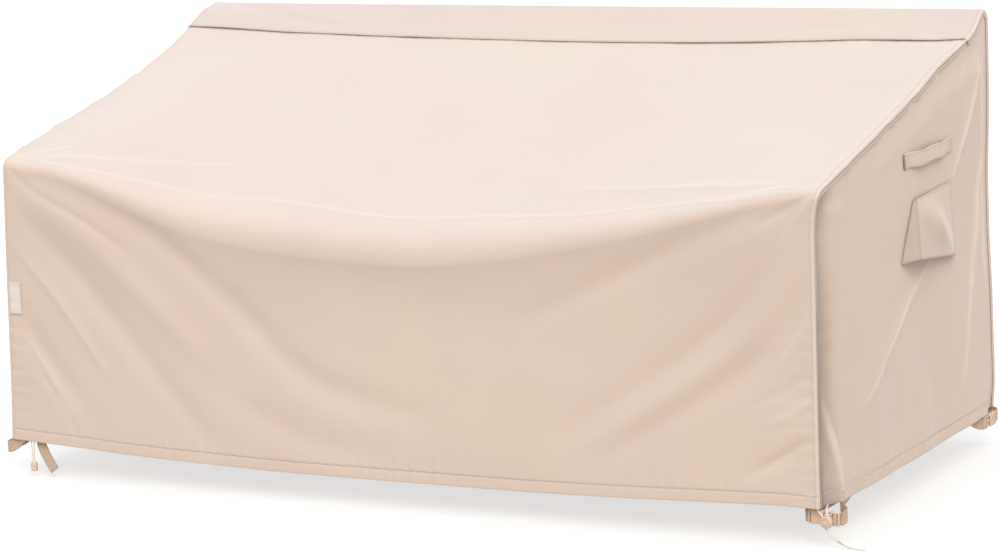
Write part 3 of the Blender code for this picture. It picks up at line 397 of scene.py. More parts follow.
INNER_RUN = (
    (0.140, 0.000, 0.020), (0.122, 0.000, 0.014), (0.112, 0.007, 0.008), (0.098, 0.026, 0.000),
    (0.080, 0.050, -0.007), (0.052, 0.076, -0.011), (0.028, 0.104, -0.009), (0.014, 0.138, -0.004),
    (0.000, 0.180, 0.002), (-0.010, 0.203, 0.009), (-0.002, 0.215, 0.012), (-0.002, 0.240, 0.016),
)
LOOP_RUNS = {
    "front_left": (
        (0.042, 0.000, 0.018), (0.031, 0.000, 0.008), (0.014, 0.006, -0.008), (-0.006, 0.003, -0.020),
        (-0.0175, 0.009, -0.021), (-0.0175, 0.022, -0.019), (-0.008, 0.040, -0.0165),
        (0.002, 0.062, -0.008), (0.000, 0.090, 0.004), (-0.005, 0.120, 0.014),
    ),
    "rear_left": (
        (0.085, 0.000, 0.018), (0.065, 0.000, 0.008), (0.040, 0.006, -0.008), (0.015, 0.000, -0.019),
        (-0.010, 0.004, -0.020), (-0.024, 0.018, -0.019), (-0.022, 0.040, -0.018),
        (-0.008, 0.062, -0.0165), (0.000, 0.088, -0.006), (-0.009, 0.106, 0.003), (0.000, 0.118, 0.008),
        (-0.003, 0.145, 0.015),
    ),
}
TAIL_RUN = (
    (0.0765, 0.000, 0.018), (0.0755, 0.000, 0.008), (0.0750, 0.010, -0.006), (0.0790, 0.009, -0.016),
    (0.0880, 0.006, -0.030), (0.1010, 0.003, -0.048), (0.1150, 0.001, -0.066),
)
UPRIGHT = (0.0, 0.0, 1.0)
ACROSS_WAY = (1.0, 0.0, 0.0)

# Buckles, cord lock and toggle.
BUCKLE_WIDTH = 0.030
BUCKLE_THICKNESS = 0.009
BUCKLE_LEADS = (0.0005, 0.0025, 0.0045)
BUCKLE_LINES = {
    "front_right": ((0.033, 0.018, -0.0240), (-0.002, 0.018, -0.0252), (-0.037, 0.018, -0.0264)),
    "rear_right": ((-0.013, 0.034, -0.0180), (-0.013, 0.066, -0.0185), (-0.010, 0.098, -0.0190)),
}
LOCK_CENTRE = (1.0035, -0.9225, -0.9180)
LOCK_RADIUS = 0.0130
LOCK_DEPTH = 0.0125
LOCK_TILT = math.radians(14)
LOCK_SLOT = (0.0185, 0.0046, 0.040)
TOGGLE_CENTRE = (-0.9655, -0.9160, -0.9490)
TOGGLE_RADIUS = 0.0078
TOGGLE_LENGTH = 0.0200
TOGGLE_GROOVES = (-0.0045, 0.0, 0.0045)
SHARP_EDGE = math.radians(38)

# Cords: diameter, far end, the way it lies, the fittings on it, and the places on its route, as in the
# solids.
DRAWSTRING = 0.0035
THIN_CORD = 0.0028
CORDS = {
    "drawstring_end_a": (DRAWSTRING, "bare", "hanging", ["cord_lock_shell"], (
        (0.9835, -0.9220, -0.8790), (0.9838, -0.9225, -0.8920), (0.9885, -0.9225, -0.9000),
        (0.9950, -0.9225, -0.9080), (0.9985, -0.9225, -0.9180), (1.0020, -0.9225, -0.9330),
        (1.0075, -0.9225, -0.9420), (1.0150, -0.9225, -0.9500), (1.0260, -0.9215, -0.9575),
        (1.0390, -0.9200, -0.9635), (1.0530, -0.9190, -0.9680), (1.0800, -0.9180, -0.9692),
    )),
    "drawstring_end_b": (DRAWSTRING, "bare", "hanging", [], (
        (0.9905, -0.8850, -0.8770), (0.9905, -0.8850, -0.8910), (0.9922, -0.8930, -0.8950),
        (0.9960, -0.9040, -0.8948), (1.0005, -0.9160, -0.8955), (1.0045, -0.9215, -0.9010),
        (1.0062, -0.9225, -0.9080), (1.0085, -0.9225, -0.9180), (1.0130, -0.9225, -0.9300),
        (1.0180, -0.9230, -0.9385), (1.0250, -0.9240, -0.9475), (1.0340, -0.9245, -0.9560),
        (1.0450, -0.9245, -0.9625), (1.0600, -0.9240, -0.9672), (1.0855, -0.9235, -0.9692),
    )),
    "toggle_cord_a": (THIN_CORD, "fitting", "hanging", ["toggle_shell"], (
        (-0.9695, -0.9150, -0.8780), (-0.9695, -0.9155, -0.8900), (-0.9690, -0.9160, -0.9050),
        (-0.9680, -0.9160, -0.9220), (-0.9680, -0.9160, -0.9387),
    )),
    "toggle_cord_b": (THIN_CORD, "fitting", "hanging", ["toggle_shell"], (
        (-0.9625, -0.9150, -0.8780), (-0.9622, -0.9155, -0.8900), (-0.9622, -0.9160, -0.9050),
        (-0.9630, -0.9160, -0.9220), (-0.9630, -0.9160, -0.9387),
    )),
    "cord_tail_rear": (THIN_CORD, "bare", "hanging", [], (
        (0.9570, 0.0268, -0.8780), (0.9575, 0.0268, -0.8950), (0.9590, 0.0270, -0.9150),
        (0.9625, 0.0270, -0.9380),
    )),
}

# Camera, lights and floor.
CAMERA_PLACE = (3.9933, -7.5698, 0.9779)
CAMERA_YAW = math.radians(29.215)
CAMERA_PITCH = math.radians(10.600)
CAMERA_ROLL = math.radians(-2.788)
CAMERA_LENS = 133.385
SUN_DISTANCE = 6
FLOOR_COLOUR = (0.20, 0.18, 0.155, 1)
FLOOR_GLOW = 0.66


# ---------------------------------------------------------------- camera, light and floor

def add_camera():
    """The camera at the photograph's place."""
    ahead = np.array([
        -math.sin(CAMERA_YAW) * math.cos(CAMERA_PITCH),
        math.cos(CAMERA_YAW) * math.cos(CAMERA_PITCH),
        -math.sin(CAMERA_PITCH),
    ])
    right = np.cross(ahead, [0, 0, 1])
    right /= np.linalg.norm(right)
    up = np.cross(right, ahead)
    turned_right = math.cos(CAMERA_ROLL) * right + math.sin(CAMERA_ROLL) * up
    turned_up = -math.sin(CAMERA_ROLL) * right + math.cos(CAMERA_ROLL) * up
    rows = [[turned_right[k], turned_up[k], -ahead[k], CAMERA_PLACE[k]] for k in range(3)]
    camera = bpy.data.objects.new("camera", bpy.data.cameras.new("camera"))
    camera.matrix_world = Matrix(rows + [[0, 0, 0, 1]])
    camera.data.lens = CAMERA_LENS
    camera.data.sensor_width = 36
    bpy.context.scene.collection.objects.link(camera)
    bpy.context.scene.camera = camera


def add_sun(name, toward, strength, angle, colour, shadows=True):
    """A far soft light from the way that toward points to."""
    light = bpy.data.lights.new(name, "SUN")
    light.use_shadow = shadows
    light.angle = angle
    light.energy = strength
    light.color = colour
    lamp = bpy.data.objects.new(name, light)
    lamp.location = Vector(toward) * SUN_DISTANCE
    lamp.rotation_euler = (-Vector(toward)).to_track_quat("-Z", "Y").to_euler()
    bpy.context.scene.collection.objects.link(lamp)


def add_studio():
    """White surroundings, soft lights and a plain pale floor."""
    world = bpy.data.worlds.new("studio")
    world.use_nodes = True
    sky = world.node_tree.nodes["Background"]
    sky.inputs["Color"].default_value = (1.0, 1.0, 1.0, 1.0)
    sky.inputs["Strength"].default_value = 1.0
    bpy.context.scene.world = world
    bpy.context.scene.view_settings.view_transform = "Standard"
    add_sun("key", (0.42, -0.60, 0.68), 2.85, math.radians(34), (1.0, 0.985, 0.965))
    add_sun("top", (-0.10, -0.05, 1.00), 2.30, math.radians(50), (0.30, 0.62, 1.0))
    add_sun("rear", (-0.72, 0.66, 0.22), 0.9, math.radians(30), (0.97, 0.98, 1.0), shadows=False)

    bpy.ops.mesh.primitive_plane_add(size=60, location=(0, 0, FLOOR_Z))
    floor = bpy.context.object
    floor.name = "floor"
    paint = Nodes("floor_paint").finish(
        Base_Color=FLOOR_COLOUR, Roughness=0.9, Emission_Color=(1, 1, 1, 1), Emission_Strength=FLOOR_GLOW
    )
    floor.data.materials.append(paint)


# ---------------------------------------------------------------- materials

class Nodes:
    """A short way to write a node tree."""

    def __init__(self, name):
        self.material = bpy.data.materials.new(name)
        self.material.use_nodes = True
        self.tree = self.material.node_tree
        self.shader = self.tree.nodes["Principled BSDF"]

    def add(self, kind, settings=None, **inputs):
        node = self.tree.nodes.new(kind)
        for key, value in (settings or {}).items():
            setattr(node, key, value)
        for key, value in inputs.items():
            self.put(node.inputs[key.replace("_", " ")], value)
        return node

    def put(self, socket, value):
        if isinstance(value, bpy.types.NodeSocket):
            self.tree.links.new(value, socket)
        else:
            socket.default_value = value

    def maths(self, operation, *values):
        node = self.tree.nodes.new("ShaderNodeMath")
        node.operation = operation
        for socket, value in zip(node.inputs, values):
            self.put(socket, value)
        return node.outputs[0]

    def plus(self, first, second, share):
        """The first value and a share of the second."""
        return self.maths("ADD", first, self.maths("MULTIPLY", second, share))

    def noise(self, vector, scale, detail=3.0):
        node = self.add("ShaderNodeTexNoise", Vector=vector, Scale=scale, Detail=detail, Roughness=0.55)
        return node.outputs["Fac"]

    def stretch(self, vector, scale):
        return self.add("ShaderNodeMapping", Vector=vector, Scale=scale).outputs[0]

    def wave(self, value, length):
        return self.maths("SINE", self.maths("MULTIPLY", value, math.tau / length))

    def ramp(self, value, low, high, to_low=0.0, to_high=1.0):
        ends = {"From_Min": low, "From_Max": high, "To_Min": to_low, "To_Max": to_high}
        return self.add("ShaderNodeMapRange", Value=value, **ends).outputs[0]

    def mix(self, share, first, second):
        """The first colour with a share of the second."""
        node = self.add("ShaderNodeMix", {"data_type": "RGBA"})
        self.put(node.inputs["Factor"], share)
        for socket, colour in ((node.inputs[6], first), (node.inputs[7], second)):
            self.put(socket, (*colour, 1) if isinstance(colour, tuple) else colour)
        return node.outputs[2]

    def bump(self, height, strength, distance, **more):
        node = self.add("ShaderNodeBump", Strength=strength, Distance=distance, Height=height, **more)
        return node.outputs[0]

    def finish(self, **settings):
        """Sets the shader's inputs, named with _ for a space, and gives the material."""
        for name, value in settings.items():
            self.put(self.shader.inputs[name.replace("_", " ")], value)
        return self.material


def cloth_material(name, colour, deep, roughness, pitch, sheen, weave=0.35):
    """Woven cloth: its weave and slubs from the UV in metres, uneven colour, bends paled by rubbing, painted
    highlights and painted shade.
    """
    nodes = Nodes(name)
    uv = nodes.add("ShaderNodeUVMap", {"uv_map": "cloth"}).outputs[0]
    place = nodes.add("ShaderNodeTexCoord").outputs["Object"]
    worn = nodes.add("ShaderNodeAttribute", {"attribute_name": "worn"}).outputs["Fac"]

    slubs_across = nodes.noise(nodes.stretch(uv, (30, 900, 1)), 1.0, 2.0)
    slubs_down = nodes.noise(nodes.stretch(uv, (900, 30, 1)), 1.0, 2.0)
    slubs = nodes.maths("ADD", slubs_across, slubs_down)
    mottled = nodes.noise(place, 38.0)
    tone = nodes.maths("MULTIPLY", slubs, 0.22)
    tone = nodes.plus(tone, nodes.noise(place, 3.5, 4.0), 0.45)
    tone = nodes.plus(tone, mottled, 0.15)
    base = nodes.mix(nodes.ramp(tone, 0.30, 0.72), deep, colour)
    drift = nodes.ramp(nodes.noise(place, 2.2, 2.0), 0.38, 0.62)
    straw = (colour[0] * 0.985, colour[1] * 1.01, colour[2] * 0.94)
    base = nodes.mix(nodes.maths("MULTIPLY", drift, 0.6), base, straw)
    # Above 0 the attribute mixes in a paler colour: bends paled by rubbing, and painted highlight on crease
    # crests.
    light = tuple(1 - (1 - c) * 0.80 for c in colour)
    base = nodes.mix(nodes.maths("MULTIPLY", nodes.maths("MAXIMUM", worn, 0.0), 0.25), base, light)
    # Below 0 it mixes in a darker colour: painted shade in seams, hollows, under edges and behind corners.
    painted_shade = nodes.maths("MINIMUM", nodes.maths("MULTIPLY", worn, -0.75), 0.9)
    base = nodes.mix(nodes.maths("MAXIMUM", painted_shade, 0.0), base, tuple(c * 0.42 for c in deep))

    split = nodes.add("ShaderNodeSeparateXYZ", Vector=uv)
    threads = nodes.maths("MULTIPLY", *(nodes.wave(split.outputs[k], pitch) for k in (0, 1)))
    height = nodes.plus(nodes.maths("MULTIPLY", threads, weave), slubs, 0.55)
    fine = nodes.bump(height, 0.35, 0.00018)
    return nodes.finish(
        Base_Color=base,
        Roughness=nodes.ramp(mottled, 0.3, 0.7, roughness - 0.06, roughness + 0.06),
        Sheen_Weight=sheen,
        Sheen_Roughness=0.45,
        Specular_IOR_Level=0.30,
        Normal=nodes.bump(nodes.noise(place, 55.0, 4.0), 0.2, 0.0016, Normal=fine),
    )


def webbing_material():
    """Tan webbing with a twill of ribs across it, painted shade between the ribs, and darker edges."""
    nodes = Nodes("webbing_cloth")
    uv = nodes.add("ShaderNodeUVMap", {"uv_map": "cloth"}).outputs[0]
    split = nodes.add("ShaderNodeSeparateXYZ", Vector=uv)
    wide, along = split.outputs[0], split.outputs[1]
    slant = nodes.maths("ADD", along, nodes.maths("ABSOLUTE", nodes.maths("MULTIPLY", wide, 0.6)))
    ribs = nodes.wave(slant, 0.0016)
    grain = nodes.noise(nodes.stretch(uv, (700, 200, 1)), 1.0)
    edge = nodes.ramp(nodes.maths("ABSOLUTE", wide), 0.0095, 0.0125)
    base = nodes.mix(nodes.ramp(grain, 0.3, 0.7), (0.33, 0.215, 0.135), (0.46, 0.325, 0.225))
    # Painted shade in the hollows between the ribs.
    base = nodes.mix(nodes.ramp(ribs, -1.0, 0.2, 0.35, 0.0), base, (0.24, 0.145, 0.085))
    base = nodes.mix(nodes.maths("MULTIPLY", edge, 0.5), base, (0.27, 0.17, 0.10))
    roughness = nodes.ramp(grain, 0.3, 0.7, 0.55, 0.75)
    normal = nodes.bump(nodes.plus(ribs, nodes.wave(wide, 0.0024), 0.5), 0.55, 0.0004)
    return nodes.finish(Base_Color=base, Roughness=roughness, Sheen_Weight=0.2, Normal=normal)


def cord_material():
    """A round braid: pale strands with painted shade in the gaps between them."""
    nodes = Nodes("braided_cord")
    place = nodes.add("ShaderNodeTexCoord").outputs["Object"]
    cells = nodes.add("ShaderNodeTexVoronoi", {"feature": "SMOOTH_F1"}, Vector=place, Scale=900.0)
    strands = cells.outputs[0]
    grain = nodes.noise(place, 420.0)
    base = nodes.mix(nodes.ramp(grain, 0.3, 0.7), (0.50, 0.405, 0.325), (0.62, 0.535, 0.455))
    # Painted shade in the gaps between the strands.
    base = nodes.mix(nodes.ramp(strands, 0.35, 0.8, 0.0, 0.5), base, (0.34, 0.25, 0.175))
    roughness = nodes.ramp(grain, 0.3, 0.7, 0.6, 0.8)
    normal = nodes.bump(nodes.maths("MULTIPLY", strands, -1.0), 0.6, 0.0005)
    return nodes.finish(Base_Color=base, Roughness=roughness, Sheen_Weight=0.3, Normal=normal)


def plastic_material():
    """Moulded tan plastic with a fine spark-eroded grain and rubbed edges."""
    nodes = Nodes("moulded_plastic")
    place = nodes.add("ShaderNodeTexCoord").outputs["Object"]
    cloudy = nodes.noise(place, 90.0)
    edges = nodes.add("ShaderNodeNewGeometry").outputs["Pointiness"]
    base = nodes.mix(nodes.ramp(cloudy, 0.3, 0.7), (0.42, 0.285, 0.195), (0.48, 0.335, 0.235))
    base = nodes.mix(nodes.ramp(edges, 0.52, 0.62, 0.0, 0.4), base, (0.60, 0.46, 0.36))
    roughness = nodes.ramp(cloudy, 0.3, 0.7, 0.36, 0.50)
    normal = nodes.bump(nodes.noise(place, 1400.0, 2.0), 0.25, 0.0001)
    return nodes.finish(Base_Color=base, Roughness=roughness, Normal=normal)


# ---------------------------------------------------------------- the cover's surface

def smooth(t):
    """0 below 0, 1 above 1 and an even ease between them."""
    t = np.clip(t, 0.0, 1.0)
    return t * t * (3.0 - 2.0 * t)


def hump(at, middle, width):
    """A bell curve: 1 at its middle and 1 / e at its half width from there."""
    return np.exp(-(((at - middle) / width) ** 2))


def curve(start, end, leaving, arriving, t):
    """The place at a share t of the way from start to end, by how the curve heads at both."""
    return (
        start * ((1 + 2 * t) * (1 - t) ** 2) + leaving * (t * (1 - t) ** 2)
        + end * (t * t * (3 - 2 * t)) - arriving * (t * t * (1 - t))
    )


def read(table, column, at):
    """The named column of a table at a place along its first one, on a smooth curve through its rows."""
    names, *rows = table
    places = np.array([row[0] for row in rows])
    values = np.array([row[names.index(column)] for row in rows])
    steps = np.diff(places)
    slopes = np.diff(values) / steps
    tangents = np.zeros(len(places))
    same_way = slopes[1:] * slopes[:-1] > 0
    middle = (steps[1:] * slopes[:-1] + steps[:-1] * slopes[1:]) / (steps[1:] + steps[:-1])
    tangents[1:-1] = np.where(same_way, middle, 0.0)
    tangents[0], tangents[-1] = slopes[0], slopes[-1]
    at = np.clip(np.asarray(at, float), places[0], places[-1])
    i = np.clip(np.searchsorted(places, at, side="right") - 1, 0, len(steps) - 1)
    t = (at - places[i]) / steps[i]
    return curve(values[i], values[i + 1], tangents[i] * steps[i], tangents[i + 1] * steps[i], t)


def across(column, x):
    """A column of ACROSS at a distance across the cover."""
    return read(ACROSS, column, x)


def slope_share(x, forward):
    """How much of the drop from ridge to shoulder the cloth has made at a place on the slope."""
    near_left = 1.0 - smooth((x + WIDTH / 2) / SLOPE_EDGE_WIDTH)
    near_right = 1.0 - smooth((WIDTH / 2 - x) / SLOPE_EDGE_WIDTH)
    left, middle, right = (read(SLOPE, name, forward) for name in SLOPE[0][1:])
    return left * near_left + right * near_right + middle * (1.0 - near_left - near_right)


def slope_height(x, forward):
    """The height of the slope above the origin, forward of the ridge."""
    ridge = TOP_Z + across("ridge", x)
    shoulder = HEM_Z + across("shoulder", x)
    return ridge - (ridge - shoulder) * slope_share(x, forward)


def front_place(x, height):
    """Where the front stands at a height above the hem: its distance in Y."""
    top = across("shoulder", x) - across("roll", x)
    down = np.clip(1.0 - height / top, 0.0, 1.2)
    # down * (1 - down)**3 is 1 / 9.5 where it is largest
    hollow = across("hollow", x) * 9.5 * down * np.clip(1.0 - down, 0.0, 1.0) ** 3
    return FRONT_Y + hollow - across("forward", x) * down**FORWARD_POWER


def rear_bulge(x, up):
    """How far the back stands out from its upright plane, by its share of the height."""
    waves = sum(height * math.sin(turns * x + start) for height, turns, start in REAR_WAVES)
    waves = waves * np.sin(math.pi * np.minimum(up * 1.05, 1.0)) * (1.0 - 0.4 * up)
    return waves + REAR_FLARE * (1.0 - up) ** 2


def wall_heights(top, low):
    """Heights above the hem from the hem upwards, close together near the hem."""
    rows = np.array(HEM_ROWS[::-1]) * (1.0 - low / top) + low
    return np.concatenate([rows, np.linspace(rows[-1], top, ROWS_WALL + 1)[1:]])


def section(x):
    """The outline of the cover in Y and Z at one place across it, as named runs of points."""
    ridge = TOP_Z + float(across("ridge", x))
    rear_top = ridge - RIDGE_RADIUS - HEM_Z
    heights = wall_heights(rear_top, 0.0)
    rear = np.column_stack([BACK_Y + rear_bulge(x, heights / rear_top), HEM_Z + heights])
    turn = np.linspace(0.0, math.pi / 2, ROWS_RIDGE + 1)
    over = np.column_stack([RIDGE_RADIUS * np.cos(turn), ridge - RIDGE_RADIUS * (1 - np.sin(turn))])
    runs = {"rear": rear, "ridge": over}
    wide = float(read(BAND_WIDTH, "width", x))
    for name, places in (
        ("band", np.linspace(0.0, wide - LAP, ROWS_BAND + 1)),
        ("lap", np.linspace(wide - LAP, wide, LAP_ROWS + 1)),
    ):
        runs[name] = np.column_stack([-places, slope_height(x, places)])
    depth = -FRONT_Y
    roll = float(across("roll", x))
    shoulder = np.array([FRONT_Y, HEM_Z + float(across("shoulder", x))])
    shares = 1.0 - (1.0 - np.linspace(0.0, 1.0, ROWS_SLOPE + 1)) ** SLOPE_CROWDING
    start = wide + SEAM_STEPS[-1]
    places = np.concatenate([wide + np.array(SEAM_STEPS), start + (depth - roll - start) * shares[1:]])
    runs["slope"] = np.column_stack([-places, slope_height(x, places)])
    start, end = runs["slope"][-1], np.array([FRONT_Y, shoulder[1] - roll])
    t = np.linspace(0.0, 1.0, ROWS_ROLL + 1)[:, None]
    runs["roll"] = (1 - t) ** 2 * start + 2 * t * (1 - t) * shoulder + t * t * end
    top, low = end[1] - HEM_Z, -float(across("drop", x))
    heights = wall_heights(top, low)[::-1]
    runs["front"] = np.column_stack([front_place(x, heights), HEM_Z + heights])
    return runs


def chain(x, names):
    """The points of the named runs in one line, without the points that two runs share."""
    runs = section(x)
    return np.concatenate([runs[name] if k == 0 else runs[name][1:] for k, name in enumerate(names)])


def outward(points):
    """The unit normals of a line of points in Y and Z, to the outside of the cover."""
    along = np.gradient(points, axis=0)
    normal = np.stack([along[:, 1], -along[:, 0]], axis=1)
    return normal / np.linalg.norm(normal, axis=1)[:, None]


def seam_place(side, points):
    """How far out the edge seam is at each point of a section, on the left (-1) or right (1)."""
    height = points[:, 1] - HEM_Z
    name = "left" if side < 0 else "right"
    front = read(CORNERS, "front_" + name, height)
    rear = read(CORNERS, "rear_" + name, height)
    toward_rear = smooth((points[:, 0] - FRONT_Y) / DEPTH)
    return front + (rear - front) * toward_rear


def curve_through(places, steps=10):
    """Points on a smooth curve through a line's places."""
    places = np.array(places, float)
    before = np.concatenate([[2 * places[0] - places[1]], places[:-1]])
    after = np.concatenate([places[1:], [2 * places[-1] - places[-2]]])
    headings = (after - before) / 2
    line = []
    for i in range(len(places) - 1):
        for t in np.arange(steps) / steps:
            line.append(curve(places[i], places[i + 1], headings[i], headings[i + 1], t))
    return np.array(line + [places[-1]])


def fold_height(folds, p, q):
    """How far the cloth stands out at (p, q) for the folds of a table."""
    p, q = np.broadcast_arrays(p, q)
    total = np.zeros(p.shape)
    for places, width, height in folds:
        line = curve_through(places)
        nearest = np.full(p.shape, 1e9)
        where = np.zeros(p.shape)
        count = len(line) - 1
        for k in range(count):
            ax, ay = line[k]
            dx, dy = line[k + 1] - line[k]
            t = np.clip(((p - ax) * dx + (q - ay) * dy) / (dx * dx + dy * dy), 0.0, 1.0)
            d = (p - ax - dx * t) ** 2 + (q - ay - dy * t) ** 2
            closer = d < nearest
            nearest = np.where(closer, d, nearest)
            where = np.where(closer, (k + t) / count, where)
        fade = np.sin(math.pi * np.clip(0.08 + 0.84 * where, 0, 1)) ** 0.7
        total += height * fade * np.exp(-nearest / width**2)
    return total


def crests(creases):
    """The crests of a table's raised creases, where the cloth gets a painted highlight."""
    return [(places, CREST_WIDTH, 1.0) for places, _, height in creases if height > 0]


def puckers(along, off, seam):
    """Small uneven ripples across a seam that die out away from it."""
    height, reach, start = PUCKERS[seam]
    total = np.zeros(np.broadcast(along, off).shape)
    for k, wave in enumerate(PUCKER_WAVES):
        drift = 1.7 * np.sin(along * (3.1 + k) + start * (k + 1)) + start * 5.0 + k
        total = total + np.sin(math.tau * along / wave + drift) / (k + 1.2)
    gate = 0.45 + 0.55 * np.sin(along * 7.3 + start * 2.0) * np.sin(along * 2.9 + start)
    return height * total * gate * np.exp(-np.abs(off) / reach) * smooth(np.abs(off) / 0.005)


def ripples(table, a, b):
    """The slow unevenness of a cloth at (a, b), from the rows of its table."""
    total = 0.0
    for height, *waves in table:
        for turns_a, turns_b, start in waves:
            height = height * np.sin(turns_a * a + turns_b * b + start)
        total = total + height
    return total


def new_piece(name, data, material):
    """A new object in the scene with its material."""
    data.materials.append(material)
    piece = bpy.data.objects.new(name, data)
    bpy.context.scene.collection.objects.link(piece)
    return piece


def add_grid(name, grid, uv, material, worn=None, flip=False):
    """A smooth open mesh from a grid of points, with its UV in metres and a value per point for paling by
    rubbing, painted highlight and painted shade.
    """
    grid = np.asarray(grid, float)
    nu, nv = grid.shape[:2]
    index = np.arange(nu * nv).reshape(nu, nv)
    quads = np.stack([index[:-1, :-1], index[1:, :-1], index[1:, 1:], index[:-1, 1:]], axis=-1)
    quads = quads.reshape(-1, 4)
    if flip:
        quads = quads[:, ::-1]
    mesh = bpy.data.meshes.new(name)
    mesh.from_pydata(grid.reshape(-1, 3).tolist(), [], quads.tolist())
    layer = mesh.uv_layers.new(name="cloth")
    flat = np.asarray(uv, float).reshape(-1, 2)[quads.reshape(-1)]
    layer.data.foreach_set("uv", flat.astype(np.float32).ravel())
    layer_of_wear_and_painted_light = mesh.attributes.new("worn", "FLOAT", "POINT")
    values = np.zeros(nu * nv) if worn is None else np.asarray(worn, float).reshape(-1)
    layer_of_wear_and_painted_light.data.foreach_set("value", values.astype(np.float32))
    mesh.shade_smooth()
    return new_piece(name, mesh, material)


def thicken(piece, thickness, offset):
    """Gives an open cloth its thickness."""
    solid = piece.modifiers.new("Cloth", "SOLIDIFY")
    solid.thickness = thickness
    solid.offset = offset
    return solid


def take_place(piece, slot, *nodes):
    """The piece rides on the cover and stands for its solids."""
    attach(piece, "root")
    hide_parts(*nodes)


def edge_swing(side, q):
    """How far the slope's seamed edge stands up unevenly, by the distance down from the shoulder."""
    total = sum(height * (1.0 + np.sin(turns * q + start * side)) for height, turns, start in EDGE_SWINGS)
    return total * smooth((-0.03 - q) / 0.05) * smooth((q - q[0] - 0.04) / 0.05)


def seam_shade(off):
    """How dark the painted shade of a seam's line is, at distances from it."""
    return hump(off, 0.0, SEAM_WIDTH)


def panel_grid(names, fields, raised=None):
    """The outer face of a panel that runs across the cover, with its turned lips and hem."""
    half = WIDTH / 2
    near_edge = np.array(EDGE_STEPS) / half
    inner = np.linspace(near_edge[-1] - 1.0, 1.0 - near_edge[-1], COLUMNS_ACROSS + 1)
    shares = np.concatenate([near_edge[:-1] - 1.0, inner, 1.0 - near_edge[-2::-1]])
    edges = {side: seam_place(side, chain(side * half, names)) for side in (-1, 1)}
    rows = len(edges[1])
    lift = np.zeros(rows) if raised is None else np.asarray(raised)
    lines = np.array([chain(share * half, names) for share in shares])
    normals = np.array([outward(line) for line in lines])
    flat_left, flat_right = LIP_BEND - edges[-1], edges[1] - LIP_BEND
    place = ((shares + 1) / 2)[:, None]
    xs = flat_left + (flat_right - flat_left) * place
    corner_z = HEM_Z + across("shoulder", shares * half)
    steps = np.linalg.norm(np.diff(lines, axis=1), axis=2)
    along = np.concatenate([np.zeros((len(shares), 1)), np.cumsum(steps, axis=1)], axis=1)
    off_corner = (lines[..., 0] - FRONT_Y) ** 2 + (lines[..., 1] - corner_z[:, None]) ** 2
    q = along - np.take_along_axis(along, np.argmin(off_corner, axis=1)[:, None], axis=1)
    edge = half - np.abs(shares * half)[:, None]
    out = lift + fields(xs, q, lines, edge)
    is_main = names == MAIN_RUNS
    if is_main:
        swings = {side: edge_swing(side, q[-1 if side > 0 else 0]) for side in (-1, 1)}
        nearest = np.where(shares[:, None] > 0, swings[1], swings[-1])
        out += nearest * hump(edge, 0.0, EDGE_SWING_WIDTH)
        # Painted highlight on the crests of raised creases; painted shade in the hem's stitched line and in
        # the seam under the band.
        crest_highlight = fold_height(crests(MAIN_CREASES), xs, q) * smooth(edge / CREASE_SIDE_FADE)
        shade = seam_shade(lines[..., 1] - lines[:, -1:, 1] - HEM_STITCH)
        shade = np.maximum(shade, BAND_SEAM_SHADE * seam_shade(q - q[:, :1] - LAP - 0.001))
        shade -= MAIN_CREST_SHARE * CREST_HIGHLIGHT * crest_highlight
    else:
        swings = {side: np.zeros(rows) for side in (-1, 1)}
        # Painted shade in the hem's stitched line, and painted shade over the whole back cloth.
        shade = seam_shade(lines[..., 1] - HEM_Z - HEM_STITCH) + BACK_SHADE
    yz = lines + normals * out[..., None]
    middle = np.concatenate([xs[..., None], yz], axis=2)
    uv = np.stack([xs, q], axis=2)
    left, left_uv = lip_grid(-1, lines[0], normals[0], edges, lift + swings[-1], q[0])
    right, right_uv = lip_grid(1, lines[-1], normals[-1], edges, lift + swings[1], q[-1])
    grid = np.concatenate([left[::-1], middle, right])
    uv = np.concatenate([left_uv[::-1], uv, right_uv])
    # Painted shade in the seam grooves of the lips, less on the back's rear edges.
    dark = np.zeros(left.shape[:2])
    dark[len(LIP_TURNS) :] = np.array([step[2] for step in LIP_STEPS])[:, None]
    dark *= np.where(lines[0, :, 0] > 0, REAR_LIP_SHARE, 1.0)
    # On the main panel, painted shade over the lips below the shoulder, beside the front corners.
    if is_main:
        below = smooth(q[0] / 0.03) * (0.55 + 0.45 * smooth((q[0] - 0.20) / 0.10))
        dark[len(LIP_TURNS) :] = np.maximum(dark[len(LIP_TURNS) :], below)
    shade = np.concatenate([dark[::-1], shade * PANEL_SHADE, dark])
    return grid, uv, -shade


def lip_grid(side, line, normal, edges, lift, q):
    """The columns of a panel's turned edge on one side, from the bend inwards to its cut edge."""
    columns, coordinates = [], []
    for degrees in LIP_TURNS:
        turn = math.radians(degrees)
        out = edges[side] - LIP_BEND + (LIP_BEND + lift) * math.sin(turn)
        down = LIP_BEND - (LIP_BEND + lift) * math.cos(turn)
        columns.append(np.column_stack([side * out, line - normal * down[:, None]]))
        coordinates.append(np.column_stack([side * (edges[side] + LIP_BEND * (turn - 1)), q]))
    for deep, inner, _ in LIP_STEPS:
        out = edges[side] + lift - inner * np.where(line[:, 0] > 0, 0.5, 1.0)
        down = LIP_BEND + (LIP - LIP_BEND) * deep
        columns.append(np.column_stack([side * out, line - normal * down]))
        wide = LIP_BEND * LIP_MIDDLE + (LIP - LIP_BEND) * deep
        coordinates.append(np.column_stack([side * (edges[side] + wide), q]))
    return np.array(columns), np.array(coordinates)


